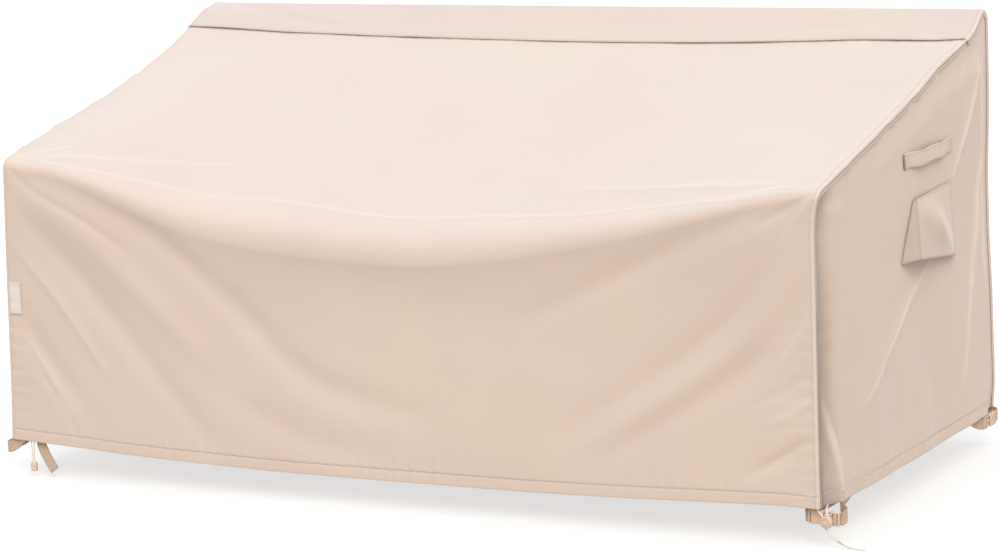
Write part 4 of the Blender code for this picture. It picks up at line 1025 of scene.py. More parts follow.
def with_hem(grid, uv, at_start=False):
    """The grid with its hem turned up inside, at its last row or its first."""
    if at_start:
        grid, uv = grid[:, ::-1], uv[:, ::-1]
    down = grid[:, -1] - grid[:, -3]
    down /= np.linalg.norm(down, axis=1)[:, None]
    sideways = np.gradient(grid[:, -1], axis=0)
    inward = np.cross(sideways, down)
    inward /= np.linalg.norm(inward, axis=1)[:, None]
    centre = np.array([0.0, (FRONT_Y + BACK_Y) / 2, HEM_Z])
    facing = np.sign(np.sum(inward * (centre - grid[:, -1]), axis=1))
    inward *= np.where(facing == 0, 1, facing)[:, None]
    end, more, more_uv = grid[:, -1], [], []
    for angle in HEM_BENDS:
        a = math.radians(angle)
        more.append(end + down * SHEET / 2 * math.sin(a) + inward * SHEET / 2 * (1 - math.cos(a)))
        more_uv.append(uv[:, -1] + [0, SHEET / 2 * a])
    for up in HEM_RISES:
        more.append(end + inward * (SHEET + 0.0002) - down * HEM_TURN * up)
        more_uv.append(uv[:, -1] + [0, SHEET * 2 + HEM_TURN * up])
    grid = np.concatenate([grid, np.stack(more, axis=1)], axis=1)
    uv = np.concatenate([uv, np.stack(more_uv, axis=1)], axis=1)
    if at_start:
        grid, uv = grid[:, ::-1], uv[:, ::-1]
    return grid, uv


def hem_field(height):
    """The doubled cloth of the hem and the groove of its stitched line."""
    doubled = 0.0006 * smooth((HEM_STITCH + 0.003 - height) / 0.004)
    return doubled - HEM_GROOVE * hump(height, HEM_STITCH, 0.0016)


def main_fields(x, q, lines, edge):
    """Everything that stands off the plain surface of the main panel."""
    height = lines[..., 1] - HEM_Z
    held = smooth(edge / FOLD_SIDE_FADE) * smooth((q - q[:, :1] - FOLD_SEAM_START) / FOLD_SEAM_FADE)
    near = smooth(edge / CREASE_SIDE_FADE) * smooth((q - q[:, :1] - FOLD_SEAM_START) / FOLD_SEAM_FADE)
    field = fold_height(MAIN_FOLDS, x, q) * held + fold_height(MAIN_CREASES, x, q) * near
    low = smooth((0.30 - height) / 0.25)
    streaks = 0.0006 * np.sin(61.0 * (x + 0.7 * q) + 2.0 * np.sin(6 * q)) * np.sin(6.0 * (x - q)) * low
    field += (ripples(MAIN_RIPPLES, x, q) + streaks) * smooth(edge / 0.04)
    upright = smooth((q - 0.02) / 0.03)
    slope = 1.0 - upright
    field += puckers(q, edge, "slope edge") * slope
    field += puckers(q, edge, "front edge") * upright
    field += puckers(x, q - q[:, :1] - LAP, "under the band")
    field -= 0.0018 * hump(q - q[:, :1] - LAP, 0.0030, 0.0045)
    on_front = smooth((q - 0.1) / 0.05)
    hem_height = np.maximum(height - lines[:, -1:, 1] + HEM_Z, 0.0)
    field += (hem_field(hem_height) + puckers(x, hem_height - HEM_STITCH, "front hem")) * on_front
    return field


def back_fields(x, q, lines, edge):
    """Everything that stands off the plain surface of the back panel."""
    height = lines[..., 1] - HEM_Z
    behind = smooth((lines[..., 0] - 0.5 * BACK_Y) / (0.4 * BACK_Y))
    waves = ripples(BACK_RIPPLES, x, height)
    waves += fold_height(BACK_FOLDS, x, height) + fold_height(BACK_CREASES, x, height)
    field = waves * smooth(edge / 0.05) * smooth((0.87 - height) / 0.05) * behind
    field += (hem_field(height) + puckers(x, height - HEM_STITCH, "back hem")) * behind
    field += puckers(height, edge, "back edge") * behind
    forward = -lines[..., 0]
    band = smooth((forward + 0.01) / 0.02)
    field += fold_height(BAND_CREASES, x, forward) * band * smooth(edge / 0.02)
    field += puckers(x, forward - BAND, "band") * band
    return field


def edge_distance(side, y, z):
    """How far places on a side panel are from the nearest of the cover's front, slope and back."""
    x = side * WIDTH / 2
    from_front = y - front_place(x, z - HEM_Z)
    forward = np.maximum(-y, 0.0)
    steepness = (slope_height(x, forward + GRADE_STEP) - slope_height(x, forward)) / GRADE_STEP
    below_slope = (slope_height(x, forward) - z) / np.sqrt(1.0 + steepness**2)
    return np.minimum(np.minimum(from_front, below_slope), BACK_Y - y), from_front, below_slope


def finer(shares, first, last):
    """The shares with more of them near the start and the end."""
    ends = [np.arange(0.0, first, SIDE_FINE), np.arange(1.0, 1.0 - last, -SIDE_FINE)]
    more = np.concatenate(ends + [np.arange(max(first, 0.07), 1.0 - last, 2 * SIDE_FINE)])
    every = np.unique(np.round(np.concatenate([shares, more]), 5))
    return every[np.concatenate([np.diff(every) > 0.0012, [True]])]


def side_grid(side):
    """The outer face of a side panel as a grid of points, its edges tucked under the other panels' lips."""
    runs = section(side * WIDTH / 2)
    slope_line = np.concatenate([runs["slope"][::-1], runs["lap"][-2::-1], runs["band"][-2::-1]])
    front_line = runs["front"][::-1]
    ridge = runs["band"][0][1]
    first_y = FRONT_Y + ROLL_TUCK
    first = (first_y, float(slope_height(side * WIDTH / 2, -first_y)) - ROLL_TUCK)
    last = (BACK_Y - RIDGE_TUCK, ridge - RIDGE_TUCK)
    top = np.concatenate([[first], slope_line + outward(slope_line) * TUCK, [last]])
    top = top[np.concatenate([[True], np.diff(top[:, 0]) > 0.0005])]
    front = np.concatenate([front_line + [TUCK, 0.0], [first]])
    rear = np.concatenate([runs["rear"] - [TUCK, 0.0], [last]])
    share_a = (top[:, 0] - top[0, 0]) / (top[-1, 0] - top[0, 0])
    share_b = (front[:, 1] - front[0, 1]) / (front[-1, 1] - front[0, 1])
    fine_a, fine_b = finer(share_a, 0.06, 0.06), finer(share_b, 0.0, 0.09)
    top = np.column_stack([np.interp(fine_a, share_a, top[:, k]) for k in (0, 1)])
    front = np.column_stack([np.interp(fine_b, share_b, front[:, k]) for k in (0, 1)])
    share_a, share_b = fine_a, fine_b
    rear_heights = rear[0, 1] + (rear[-1, 1] - rear[0, 1]) * share_b
    rear = np.column_stack([np.interp(rear_heights, rear[:, 1], rear[:, 0]), rear_heights])

    hem = front[0] + (rear[0] - front[0]) * share_a[:, None]
    seams = [seam_place(side, line) for line in (hem, top, front, rear)]
    seams[0] = seams[0] + SIDE_HEM_BULGE * np.sin(math.pi * share_a) ** 0.6
    lines = (hem, top, front, rear)
    hem, top, front, rear = (np.column_stack([out, line]) for out, line in zip(seams, lines))
    a, b = share_a[:, None, None], share_b[None, :, None]
    grid = (1 - b) * hem[:, None] + b * top[:, None] + (1 - a) * front[None] + a * rear[None]
    grid -= (1 - a) * ((1 - b) * hem[0] + b * top[0]) + a * ((1 - b) * hem[-1] + b * top[-1])
    y, z = grid[..., 1], grid[..., 2]
    nearest, from_front, below_slope = edge_distance(side, y, z)
    free = smooth((nearest - HOLD_FREE) / SIDE_EASE)
    height = z - HEM_Z
    field = fold_height(SIDE_FOLDS, y, height) + fold_height(SIDE_CREASES, y, height)
    field += ripples(SIDE_RIPPLES, y, height)
    base = seam_place(side, grid[..., 1:].reshape(-1, 2)).reshape(y.shape) - SHEET - SEAM_GAP
    swell = SIDE_SWELL + SIDE_HEM_SWELL * (1.0 - smooth(height / 0.1))
    out = base + free * (grid[..., 0] - base + swell + field)
    clear = smooth((nearest - 0.016) / 0.006)
    out += puckers(0.6 * height, from_front - 0.012, "side front") * clear
    out += puckers(0.45 * y, below_slope - 0.012, "side top") * clear
    tall = read(CORNER_HOLLOW, "depth", height)
    out -= tall * hump(from_front, 0.044, 0.020) * smooth((below_slope - 0.010) / 0.030)
    out += (hem_field(height) + puckers(y, height - HEM_STITCH, "side hem")) * clear
    points = np.stack([side * out, y, z], axis=2)
    # Painted shade beside the lips' cut edges, in the hem's stitched line and in strips behind the front
    # corner; painted highlight on the crests of raised creases.
    shade = 0.10 * hump(nearest, 0.0155, 0.0035) + SIDE_HEM_SHADE * seam_shade(height - HEM_STITCH)
    strips = [most * hump(from_front, middle, width) for most, middle, width in CORNER_SHADES]
    behind = strips[0] * tall + strips[1] * (1.0 - 0.5 * smooth((height - 0.40) / 0.15))
    shade += (behind + strips[2] * smooth((0.55 - height) / 0.2)) * smooth(below_slope / 0.05)
    shade -= CREST_HIGHLIGHT * fold_height(crests(SIDE_CREASES), y, height) * free
    return points, np.stack([y, height], axis=2), -shade


def line_on(grid, column=None, row=None):
    """Points and unit normals along one column or row of a grid."""
    du, dv = np.gradient(grid, axis=0), np.gradient(grid, axis=1)
    normal = np.cross(du, dv)
    normal /= np.maximum(np.linalg.norm(normal, axis=2), 1e-12)[..., None]
    pick = (column, slice(None)) if row is None else (slice(None), row)
    return grid[pick], normal[pick]


def stitch(points, normals, outwards):
    """Keeps a line for the stitching, with its normals turned to the outside."""
    points, normals = np.array(points, float), np.array(normals, float)
    facing = np.sum(normals * np.array(outwards, float), axis=1)
    normals *= np.where(facing < 0, -1.0, 1.0)[:, None]
    stitch_rows.append((points, normals))


def add_stitching(material):
    """Every stitch of every kept line, as one mesh of short rounded threads."""
    points, faces = [], []
    ring = [(math.cos(a), math.sin(a)) for a in np.linspace(0, math.tau, 5)[:-1] + math.pi / 4]
    for line, normals in stitch_rows:
        steps = np.linalg.norm(np.diff(line, axis=0), axis=1)
        along = np.concatenate([[0.0], np.cumsum(steps)])
        for start in np.arange(0.002, along[-1] - STITCH_LENGTH, STITCH_STEP):
            at = np.array([start, start + STITCH_LENGTH])
            ends = np.column_stack([np.interp(at, along, line[:, k]) for k in range(3)])
            up = np.array([np.interp(start, along, normals[:, k]) for k in range(3)])
            way = ends[1] - ends[0]
            way /= np.linalg.norm(way)
            up -= way * up.dot(way)
            up /= np.linalg.norm(up)
            beside = np.cross(way, up)
            first = len(points)
            points.append(ends[0] - up * STITCH_SUNK)
            for share in (0.22, 0.78):
                centre = ends[0] + (ends[1] - ends[0]) * share + up * STITCH_RAISED
                points += [centre + (beside * c + up * s) * STITCH_WIDTH / 2 for c, s in ring]
            points.append(ends[1] - up * STITCH_SUNK)
            for k in range(4):
                n = (k + 1) % 4
                faces.append((first, first + 1 + n, first + 1 + k))
                faces.append((first + 1 + k, first + 1 + n, first + 5 + n, first + 5 + k))
                faces.append((first + 9, first + 5 + k, first + 5 + n))
    mesh = bpy.data.meshes.new("stitching")
    mesh.from_pydata([tuple(p) for p in points], [], faces)
    mesh.shade_smooth()
    piece = new_piece("stitching", mesh, material)
    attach(piece, "root")


def wear_and_painted_light_of(grid, shade, before=0):
    """Where a panel is paled by rubbing at its bends, added to its painted shade below 0 and painted crest
    highlights above 0.
    """
    worn = np.zeros(grid.shape[:2])
    worn[:, before : before + shade.shape[1]] = shade
    bend = len(LIP_STEPS) + len(LIP_TURNS) - 1.5
    for k in range(len(LIP_STEPS), len(LIP_STEPS) + len(LIP_TURNS) + 1):
        worn[[k, -1 - k]] += BEND_WEAR * hump(k, bend, BEND_COLUMNS)
    return worn


def add_panels():
    """The four panels of the cover."""
    grid, uv, shade = panel_grid(MAIN_RUNS, main_fields)
    lip = len(LIP_TURNS) + len(LIP_STEPS)
    hem_row = len(grid[0]) - len(HEM_ROWS) + HEM_ROWS.index(HEM_STITCH)
    for column in (lip + 2, len(grid) - lip - 3):
        stitch(*line_on(grid, column=column), (0, -1, 1))
    stitch(*line_on(grid[lip:-lip], row=hem_row), (0, -1, 0))
    grid, uv = with_hem(grid, uv)
    piece = add_grid("main_cloth", grid, uv, cover, wear_and_painted_light_of(grid, shade))
    take_place(piece, "cover_fabric", "main_panel")

    rows = len(chain(0.0, BACK_RUNS))
    raised = np.zeros(rows)
    raised[-LAP_ROWS:] = RAISE
    raised[-LAP_ROWS - len(RISE_TO_LAP) : -LAP_ROWS] = RAISE * np.array(RISE_TO_LAP)
    grid, uv, shade = panel_grid(BACK_RUNS, back_fields, raised=raised)
    hem_row = len(HEM_ROWS) - 1 - HEM_ROWS.index(HEM_STITCH)
    stitch(*line_on(grid[lip:-lip], row=hem_row), (0, 1, 0))
    stitch(*line_on(grid[lip:-lip], row=rows - 2), (0, -1, 1))
    for column in (lip + 2, len(grid) - lip - 3):
        stitch(*line_on(grid, column=column), (0, 0.4, 1))
    # the band's cut edge, turned down onto the main panel
    last, before = grid[:, -1], grid[:, -2]
    way = last - before
    way /= np.linalg.norm(way, axis=1)[:, None]
    drop = np.cross(np.gradient(last, axis=0), way)
    drop /= np.linalg.norm(drop, axis=1)[:, None]
    drop *= np.where(drop[:, 2] > 0, -1.0, 1.0)[:, None]
    edge = np.stack([last + way * 0.0004 + drop * deep for deep in (0.0006, RAISE * 0.9)], axis=1)
    grid = np.concatenate([grid, edge], axis=1)
    uv = np.concatenate([uv, uv[:, -1:] + [0, 0.001], uv[:, -1:] + [0, 0.003]], axis=1)
    grid, uv = with_hem(grid, uv, at_start=True)
    worn = wear_and_painted_light_of(grid, shade, HEM_ADDED)
    # Painted shade along the band's turned-down cut edge.
    worn[lip:-lip, -2:] = -BAND_EDGE_SHADE
    piece = add_grid("back_cloth", grid, uv, cover, worn)
    take_place(piece, "cover_fabric", "back_panel")

    for side, end in SIDES:
        grid, uv, shade = side_grid(side)
        hem_row = int(np.argmin(np.abs(uv[len(uv) // 2, :, 1] - HEM_STITCH)))
        stitch(*line_on(grid[4:-4], row=hem_row), (side, 0, 0))
        grid, uv = with_hem(grid, uv, at_start=True)
        worn = np.concatenate([np.zeros((len(shade), HEM_ADDED)), shade], axis=1)
        piece = add_grid("side_cloth_" + end, grid, uv, cover, worn, flip=side > 0)
        take_place(piece, "cover_fabric", "side_panel_" + end)
        trees["side_cloth_" + end] = tree_of(piece)


def tree_of(thing):
    """A search tree of an object's mesh, for finding where its faces are."""
    bpy.context.view_layer.update()
    return BVHTree.FromObject(thing, bpy.context.evaluated_depsgraph_get())


def side_face(side, y, z):
    """How far out the outer face of a side panel is."""
    name = "side_cloth_left" if side < 0 else "side_cloth_right"
    hit = trees[name].ray_cast(Vector((side * WIDTH, y, z)), Vector((-side, 0, 0)))
    return abs(hit[0].x)


def add_ribbon(name, places, width_way, width, thickness, material, ends=0.0):
    """A strap as a closed mesh with its length: a flat section with rounded edges, carried along places."""
    places = [Vector(p) for p in places]
    headings = headings_along(places)
    face = [(u, 0.5) for u in np.linspace(-0.47, 0.47, 11)] + [(0.492, 0.36), (0.5, 0.0), (0.492, -0.36)]
    profile = face + [(-u, -v) for u, v in face]
    rows, coordinates, along = [], [], 0.0
    for i, (place, heading) in enumerate(zip(places, headings)):
        heading = heading.normalized()
        wide = Vector(width_way)
        wide = (wide - heading * wide.dot(heading)).normalized()
        up = heading.cross(wide)
        if i:
            along += (place - places[i - 1]).length
        rows.append([place + wide * width * u + up * thickness * v for u, v in profile])
        coordinates.append([(u * width, along) for u, _ in profile])
    mesh = bpy.data.meshes.new(name)
    bm = bmesh.new()
    layer = bm.loops.layers.uv.new("cloth")
    verts = [[bm.verts.new(p) for p in row] for row in rows]
    count = len(profile)
    for i in range(len(rows) - 1):
        for k in range(count):
            n = (k + 1) % count
            face = bm.faces.new((verts[i][k], verts[i][n], verts[i + 1][n], verts[i + 1][k]))
            spots = (coordinates[i][k], coordinates[i][n], coordinates[i + 1][n], coordinates[i + 1][k])
            for loop, spot in zip(face.loops, spots):
                loop[layer].uv = spot
    for i, row in ((0, verts[0]), (-1, verts[-1])):
        face = bm.faces.new(row if i else row[::-1])
        for loop in face.loops:
            loop[layer].uv = (0.0, 0.0)
    bmesh.ops.recalc_face_normals(bm, faces=bm.faces)
    bm.to_mesh(mesh)
    bm.free()
    # A value of ends below 0 paints shade on the ribbon's first and last rows.
    worn = np.zeros((len(rows), count))
    worn[:2] = worn[-1:] = ends
    mesh.attributes.new("worn", "FLOAT", "POINT").data.foreach_set("value", worn.astype(np.float32).ravel())
    mesh.shade_smooth()
    return new_piece(name, mesh, material), along


def add_handles():
    """A handle on each side: a folded strip, sewn down at both ends and slack between them."""
    for side, end in SIDES:
        spots, rests, slacks = [], [], []
        for i in range(HANDLE_STEPS + 1):
            y = HANDLE_FRONT + (HANDLE_REAR - HANDLE_FRONT) * i / HANDLE_STEPS
            inside = min(y - HANDLE_FRONT, HANDLE_REAR - y) - HANDLE_SEWN
            slack = HANDLE_SLACK * float(smooth(inside / HANDLE_EASE))
            slacks.append(slack + HANDLE_CRUMPLE * math.sin(410 * y) * math.sin(57 * y + side))
            wave = HANDLE_WAVE * math.sin(math.tau * HANDLE_WAVES * i / HANDLE_STEPS)
            z = HANDLE_Z + wave
            spots.append((y, z))
            rests.append(max(side_face(side, y, z + HANDLE_WIDTH * up) for up in np.linspace(-0.5, 0.5, 5)))
        even = np.convolve(np.pad(rests, HANDLE_EVEN, mode="edge"), np.ones(2 * HANDLE_EVEN + 1), "valid")
        even /= 2 * HANDLE_EVEN + 1
        base = np.maximum(even, rests) + SEAT + HANDLE_THICKNESS / 2
        places = [(side * (out + slack), y, z) for out, slack, (y, z) in zip(base, slacks, spots)]
        # The handle's ends get painted shade.
        piece, length = add_ribbon(
            "handle_cloth_" + end, places, UPRIGHT, HANDLE_WIDTH, HANDLE_THICKNESS, cover, -HANDLE_END_SHADE
        )
        take_place(piece, "cover_fabric", "handle_" + end)
        tree = tree_of(piece)
        half = HANDLE_WIDTH / 2 - STITCH_INSET
        for start in (HANDLE_FRONT, HANDLE_REAR - HANDLE_SEWN):
            low, high = start + STITCH_INSET, start + HANDLE_SEWN - STITCH_INSET
            ring = [(low, -half), (high, -half), (high, half), (low, half), (low, -half), (high, half)]
            stitch_on(tree, side, [(y, HANDLE_Z + up) for y, up in ring])
        for up in (-half, half):
            ends = HANDLE_FRONT + 0.004, HANDLE_REAR - 0.004
            stitch_on(tree, side, [(y, HANDLE_Z + up) for y in ends])


def stitch_on(tree, side, corners):
    """A stitched line over a piece on a side panel, through corners given by Y and Z."""
    points = []
    for (y0, z0), (y1, z1) in zip(corners, corners[1:]):
        count = max(2, int(math.hypot(y1 - y0, z1 - z0) / 0.004))
        for t in np.linspace(0, 1, count + 1):
            y, z = y0 + (y1 - y0) * t, z0 + (z1 - z0) * t
            hit = tree.ray_cast(Vector((side * 1.2, y, z)), Vector((-side, 0, 0)))
            if hit[0]:
                points.append(tuple(hit[0]))
    if len(points) > 1:
        stitch(points, [(side, 0, 0)] * len(points), (side, 0, 0))


def hood_grid(side):
    """The outer face of a vent hood: a narrow gusset in front, then the flap with its slanting fold."""
    corners = {name: np.array(place) for name, place in HOOD_CORNERS.items()}
    gusset = [("gusset", i / HOOD_GUSSET_COLUMNS) for i in range(HOOD_GUSSET_COLUMNS)]
    flap = [("flap", i / HOOD_FLAP_COLUMNS) for i in range(HOOD_FLAP_COLUMNS + 1)]
    columns, coordinates = [], []
    for piece, s in gusset + flap:
        column, row = [], []
        for j in range(HOOD_ROWS + 1):
            down = 1.0 - j / HOOD_ROWS
            wall, fold, rear = (
                corners[line + "_top"] * (1 - down) + corners[line + "_low"] * down
                for line in ("wall", "flap", "rear")
            )
            if piece == "gusset":
                y, up, out = wall * (1 - s) + fold * s
                out += 0.0015 * math.sin(math.pi * s) * math.sin(math.pi * down)
            else:
                y, up, out = fold * (1 - s) + rear * s
                near = hump(s, down, HOOD_RIDGE_WIDTH)
                out += HOOD_RIDGE * near * math.sin(math.pi * (s + down) / 2) * math.sin(math.pi * s) ** 0.5
                out += 0.0012 * math.sin(11 * s + 5 * down) * math.sin(math.pi * s) * down
            z = HEM_Z + up
            column.append((side * (side_face(side, y, z) + SEAT + SHEET + out), y, z))
            row.append((y, up))
        columns.append(column)
        coordinates.append(row)
    return np.array(columns), np.array(coordinates)


def add_hoods():
    """A vent hood on each side, with its turned edges."""
    for side, end in SIDES:
        grid, uv = hood_grid(side)
        # Painted shade over the gusset and its folds, toward the flap's lower front corner, along the flap's
        # top and its mouth.
        shade = np.zeros(grid.shape[:2])
        low, fore = np.linspace(1.0, 0.0, HOOD_ROWS + 1), np.linspace(1.0, 0.0, HOOD_FLAP_COLUMNS + 1)
        shade[HOOD_GUSSET_COLUMNS:] = -FLAP_SHADE * smooth(fore[:, None] + low[None] - 0.75)
        shade[:HOOD_GUSSET_COLUMNS] = -GUSSET_SHADE
        shade[[0, HOOD_GUSSET_COLUMNS]] = -GUSSET_EDGE_SHADE
        shade[:, -1] -= FLAP_TOP_SHADE
        shade[HOOD_GUSSET_COLUMNS:, 0] -= FLAP_MOUTH_SHADE
        piece = add_grid("vent_cloth_" + end, grid, uv, cover, shade, flip=side < 0)
        thicken(piece, SHEET, -1.0).use_even_offset = True
        take_place(piece, "cover_fabric", "vent_hood_" + end)
        rows, columns = (1, HOOD_ROWS - 1), (1, len(grid) - 2, HOOD_GUSSET_COLUMNS + 1)
        for pick in [{"row": row} for row in rows] + [{"column": column} for column in columns]:
            stitch(*line_on(grid, **pick), (side, 0, 0))


def add_label():
    """The bare label patch near the left end of the front."""
    tree = tree_of(bpy.data.objects["main_cloth"])
    columns, coordinates = [], []
    for s in np.linspace(0.0, 1.0, LABEL_COLUMNS + 1):
        x = LABEL_CENTRE[0] + LABEL_SIZE[0] * (s - 0.5)
        column, row = [], []
        for t in np.linspace(0.0, 1.0, LABEL_ROWS + 1):
            z = HEM_Z + LABEL_CENTRE[1] + LABEL_SIZE[1] * (t - 0.5)
            hit = tree.ray_cast(Vector((x, 2 * FRONT_Y, z)), Vector((0, 1, 0)))
            puff = LABEL_PUFF * math.sin(math.pi * s) * math.sin(math.pi * t)
            column.append((x, hit[0].y - SEAT - LABEL_THICKNESS - puff, z))
            row.append((x, z))
        columns.append(column)
        coordinates.append(row)
    grid = np.array(columns)
    piece = add_grid("label_cloth", grid, coordinates, patch, flip=True)
    thicken(piece, LABEL_THICKNESS, 1.0)
    take_place(piece, "label_patch", "label_patch")
    for pick in ({"row": 1}, {"row": LABEL_ROWS - 1}, {"column": 1}, {"column": LABEL_COLUMNS - 1}):
        stitch(*line_on(grid, **pick), (0, -1, 0))


# ---------------------------------------------------------------- straps and fittings

def headings_along(places):
    """The way a line heads at each of its places, most like the shorter of the two steps there."""
    steps = [end - start for start, end in zip(places, places[1:])]
    headings = [steps[0].normalized()]
    for before, after in zip(steps, steps[1:]):
        a, b = before.length, after.length
        headings.append((before / a * b + after / b * a) / (a + b))
    return headings + [steps[-1].normalized()]


def smooth_route(places, spacing):
    """Points on a smooth curve through the places of a route, about evenly apart."""
    places = [Vector(place) for place in places]
    headings = headings_along(places)
    line = []
    for start, end, leaving, arriving in zip(places, places[1:], headings, headings[1:]):
        length = (end - start).length
        count = max(1, round(length / spacing))
        line += [curve(start, end, leaving * length, arriving * length, t) for t in np.arange(count) / count]
    return line + [places[-1]]


def corner_places(corner, route):
    """The world places of a route that is given from a hem corner."""
    x, y, out, into = HEM_CORNERS[corner]
    return [Vector((x - out * a, y + into * b, HEM_Z + c)) for a, b, c in route]


def seat(place, panel, corner, width_way):
    """Moves a place at a strap's sewn end until the strap lies on the inner face of its panel."""
    _, _, out, into = HEM_CORNERS[corner]
    way = Vector((out, 0, 0)) if panel.startswith("side") else Vector((0, -into, 0))
    reach = []
    for share in (-0.5, 0.0, 0.5):
        start = place - way * SEAT_RAY + Vector(width_way) * STRAP_WIDTH * share
        hit = trees[panel].ray_cast(start, way)
        if hit[0]:
            reach.append(hit[3])
    return place + way * (min(reach) - SEAT_RAY - SEAT - STRAP_THICKNESS / 2)


def add_strap(name, corner, route, first=None, last=None, after=None, before=None, width_way=UPRIGHT):
    """A webbing strap along a route, in the place of its solid."""
    places = corner_places(corner, route)
    if first:
        places[1:1] = [places[0].lerp(places[1], SEWN_SHARE)]
        places[:3] = [seat(place, first, corner, width_way) for place in places[:3]]
    if last:
        places[-1:-1] = [places[-1].lerp(places[-2], SEWN_SHARE)]
        places[-3:] = [seat(place, last, corner, width_way) for place in places[-3:]]
    line = smooth_route((before or []) + places + (after or []), STRAP_SPACING)
    piece, length = add_ribbon(name + "_web", line, width_way, STRAP_WIDTH, STRAP_THICKNESS, webbing)
    take_place(piece, "webbing", name)


def buckle_leads(corner, side):
    """The places that a strap runs straight through just outside a buckle's end, the nearest first."""
    places = corner_places(corner, BUCKLE_LINES[corner])
    end = places[0] if side == "socket" else places[-1]
    away = (end - places[1]).normalized()
    return [end + away * distance for distance in BUCKLE_LEADS]


def add_straps():
    """Every webbing strap at the four lower corners."""
    for corner, (_, _, out, into) in HEM_CORNERS.items():
        across_panel = "main_panel" if into > 0 else "back_panel"
        side_panel = "side_panel_right" if out > 0 else "side_panel_left"
        ends = {"first": across_panel, "last": side_panel}
        if corner in LOOP_RUNS:
            add_strap("strap_loop_" + corner, corner, LOOP_RUNS[corner], **ends)
        else:
            leads = buckle_leads(corner, "plug")
            add_strap("strap_side_" + corner, corner, SIDE_RUNS[corner], last=side_panel, before=leads)
        leads = buckle_leads(corner, "socket") if corner in BUCKLE_LINES else []
        if corner in HEM_RUNS:
            add_strap("strap_hem_" + corner, corner, HEM_RUNS[corner], first=across_panel, after=leads[::-1])
        if corner == "front_right":
            add_strap("strap_inner_" + corner, corner, BUCKLE_INNER_RUN, last=side_panel, before=leads)
        else:
            add_strap("strap_inner_" + corner, corner, INNER_RUN, **ends)
    add_strap("strap_tail_front_left", "front_left", TAIL_RUN, first="main_panel", width_way=ACROSS_WAY)


def round_edges(thing, width, segments):
    """Rounds the sharp edges of a fresh object."""
    rounding = thing.modifiers.new("Rounded edges", "BEVEL")
    rounding.width = width
    rounding.segments = segments
    rounding.limit_method = "ANGLE"
    apply_modifiers(thing)


def new_barrel(radius, depth, vertices, bevel):
    """A round bar along Z with rounded edges, as a fresh object."""
    bpy.ops.mesh.primitive_cylinder_add(vertices=vertices, radius=radius, depth=depth)
    barrel = bpy.context.object
    round_edges(barrel, bevel, 4)
    return barrel


def cut_ring(thing, radius, thickness, height, around, section_points):
    """Cuts a round groove at a height into a fitting."""
    bpy.ops.mesh.primitive_torus_add(
        major_radius=radius, minor_radius=thickness, location=(0, 0, height),
        major_segments=around, minor_segments=section_points,
    )
    combine(thing, bpy.context.object, "DIFFERENCE")


def new_box(size, centre, bevel, segments=3):
    """A rounded box as a fresh object at the origin's frame."""
    bpy.ops.mesh.primitive_cube_add(size=1.0)
    box = bpy.context.object
    box.data.transform(Matrix.Diagonal((*size, 1.0)))
    box.data.transform(Matrix.Translation(centre))
    if bevel:
        round_edges(box, bevel, segments)
    return box


def apply_modifiers(thing):
    """Replaces an object's mesh by its evaluated one."""
    bpy.context.view_layer.update()
    made = bpy.data.meshes.new_from_object(thing.evaluated_get(bpy.context.evaluated_depsgraph_get()))
    thing.modifiers.clear()
    thing.data = made


def combine(base, other, operation):
    """A boolean of two fresh objects; the second is removed."""
    step = base.modifiers.new("Cut", "BOOLEAN")
    step.operation = operation
    step.object = other
    apply_modifiers(base)
    bpy.data.objects.remove(other)


def finish_fitting(thing, name, matrix, *nodes):
    """Puts a fitting in its place, smooth but for its sharp edges."""
    thing.name = name
    thing.data.transform(matrix)
    thing.data.shade_smooth()
    thing.data.set_sharp_from_angle(angle=SHARP_EDGE)
    thing.data.materials.clear()
    thing.data.materials.append(plastic)
    take_place(thing, "buckle_plastic", *nodes)


def buckle_boxes(half, length):
    """What is cut from a buckle's half and added to it: boxes with their size, middle, bevel and segments."""
    wide, thick = BUCKLE_WIDTH, BUCKLE_THICKNESS
    if half == "socket":
        yield "DIFFERENCE", (0.0042, thick * 2, wide * 0.76), (0.0062, 0, 0), 0.0006, 1
        for way in (-1, 1):
            window = (length * 0.36, thick * 0.56, 0.008)
            yield "DIFFERENCE", window, (length * 0.62, 0, way * wide / 2), 0.001, 2
        yield "DIFFERENCE", (0.004, thick * 0.5, wide * 0.70), (length, 0, 0), 0.0008, 1
        for face in (-1, 1):
            dish = (length * 0.42, 0.0012, wide * 0.42)
            yield "DIFFERENCE", dish, (length * 0.60, face * thick / 2, 0), 0.0005, 2
    else:
        for place in (0.15, 0.42):
            yield "DIFFERENCE", (0.0036, thick * 2, wide * 0.76), (length * place, 0, 0), 0.0006, 1
        for way in (-1, 1):
            prong = (length * 0.44, thick * 0.46, 0.005)
            yield "UNION", prong, (length * 0.78, 0, way * wide * 0.36), 0.0012, 2
        yield "UNION", (length * 0.40, thick * 0.40, 0.007), (length * 0.79, 0, 0), 0.0012, 2


def add_buckles():
    """Side-release buckles: the socket with its side windows and the plug with its bars."""
    for corner, line in BUCKLE_LINES.items():
        outer, joint, other = corner_places(corner, line)
        for half, start, end in (("socket", outer, joint), ("plug", other, joint)):
            along = end - start
            length = along.length - GAP
            turn = along.to_track_quat("X", "Z").to_matrix().to_4x4()
            matrix = Matrix.Translation(start) @ turn
            if half == "socket":
                body = new_box((length, BUCKLE_THICKNESS, BUCKLE_WIDTH), (length / 2, 0, 0), 0.0028)
            else:
                size = (length * 0.62, BUCKLE_THICKNESS * 0.86, BUCKLE_WIDTH)
                body = new_box(size, (length * 0.31, 0, 0), 0.0026)
            for operation, *box in buckle_boxes(half, length):
                combine(body, new_box(*box), operation)
            finish_fitting(body, f"buckle_{half}_shell_{corner}", matrix, f"buckle_{half}_{corner}")


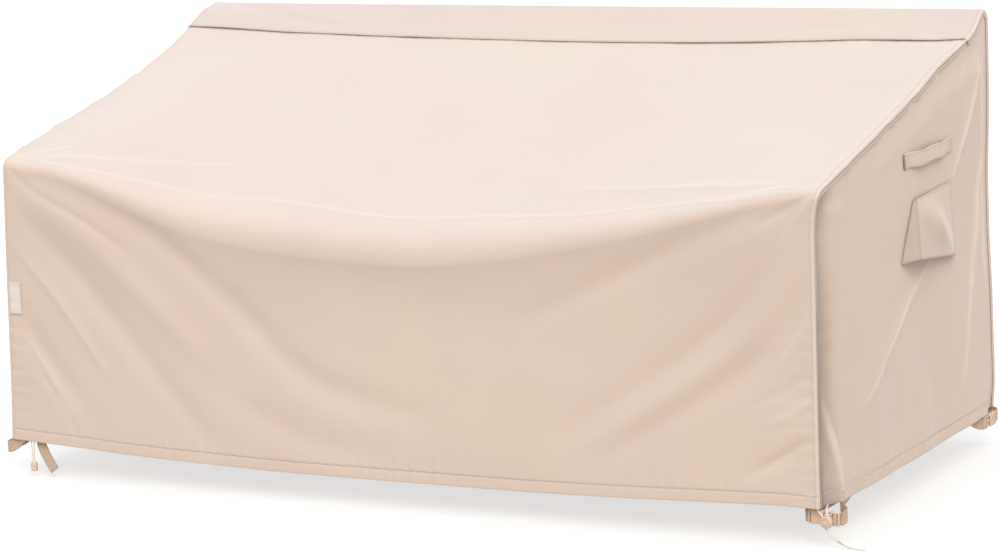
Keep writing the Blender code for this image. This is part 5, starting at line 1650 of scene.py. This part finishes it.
def add_lock_and_toggle():
    """The round cord lock with its button, and the barrel toggle."""
    lock = new_barrel(LOCK_RADIUS, LOCK_DEPTH, 56, 0.0028)
    cut_ring(lock, LOCK_RADIUS * 0.62, 0.0009, LOCK_DEPTH / 2, 48, 8)
    bpy.ops.mesh.primitive_cylinder_add(
        vertices=40, radius=LOCK_RADIUS * 0.34, depth=0.0016, location=(0, 0, LOCK_DEPTH / 2)
    )
    combine(lock, bpy.context.object, "UNION")
    slot = new_box(LOCK_SLOT, (0, 0, 0), 0.0)
    slot.data.transform(Matrix.Rotation(-LOCK_TILT, 4, "Y"))
    slot.data.transform(Matrix.Rotation(-math.pi / 2, 4, "X"))
    combine(lock, slot, "DIFFERENCE")
    matrix = Matrix.Translation(LOCK_CENTRE) @ Matrix.Rotation(math.pi / 2, 4, "X")
    finish_fitting(lock, "cord_lock_shell", matrix, "cord_lock")

    toggle = new_barrel(TOGGLE_RADIUS, TOGGLE_LENGTH, 40, 0.0026)
    for height in TOGGLE_GROOVES:
        cut_ring(toggle, TOGGLE_RADIUS, 0.0006, height, 40, 6)
    finish_fitting(toggle, "toggle_shell", Matrix.Translation(TOGGLE_CENTRE), "toggle")


def add_cords():
    """The free cord ends, as curves along their routes."""
    for name, (diameter, far_end, lay, fittings, route) in CORDS.items():
        line = smooth_route(route, diameter)
        curve = bpy.data.curves.new(name + "_line", "CURVE")
        curve.dimensions = "3D"
        curve.bevel_depth = diameter / 2
        curve.bevel_resolution = 4
        curve.use_fill_caps = True
        spline = curve.splines.new("POLY")
        spline.points.add(len(line) - 1)
        for point, place in zip(spline.points, line):
            point.co = (*place, 1.0)
        piece = new_piece(name + "_line", curve, braid)
        take_place(piece, "cord", name)


trees, stitch_rows = {}, []
add_camera()
add_studio()
cover = cloth_material("cover_cloth", (0.455, 0.342, 0.278), (0.426, 0.318, 0.256), 0.72, 0.0011, 0.20)
patch = cloth_material("patch_cloth", (0.52, 0.44, 0.40), (0.48, 0.40, 0.36), 0.6, 0.0007, 0.25, weave=0.2)
thread = cloth_material("thread", (0.36, 0.26, 0.195), (0.30, 0.215, 0.16), 0.6, 0.0006, 0.3)
webbing = webbing_material()
braid = cord_material()
plastic = plastic_material()
for panel in ("main_panel", "back_panel", "side_panel_left", "side_panel_right"):
    trees[panel] = tree_of(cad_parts[panel])
add_panels()
add_handles()
add_hoods()
add_label()
add_straps()
add_buckles()
add_lock_and_toggle()
add_cords()
add_stitching(thread)
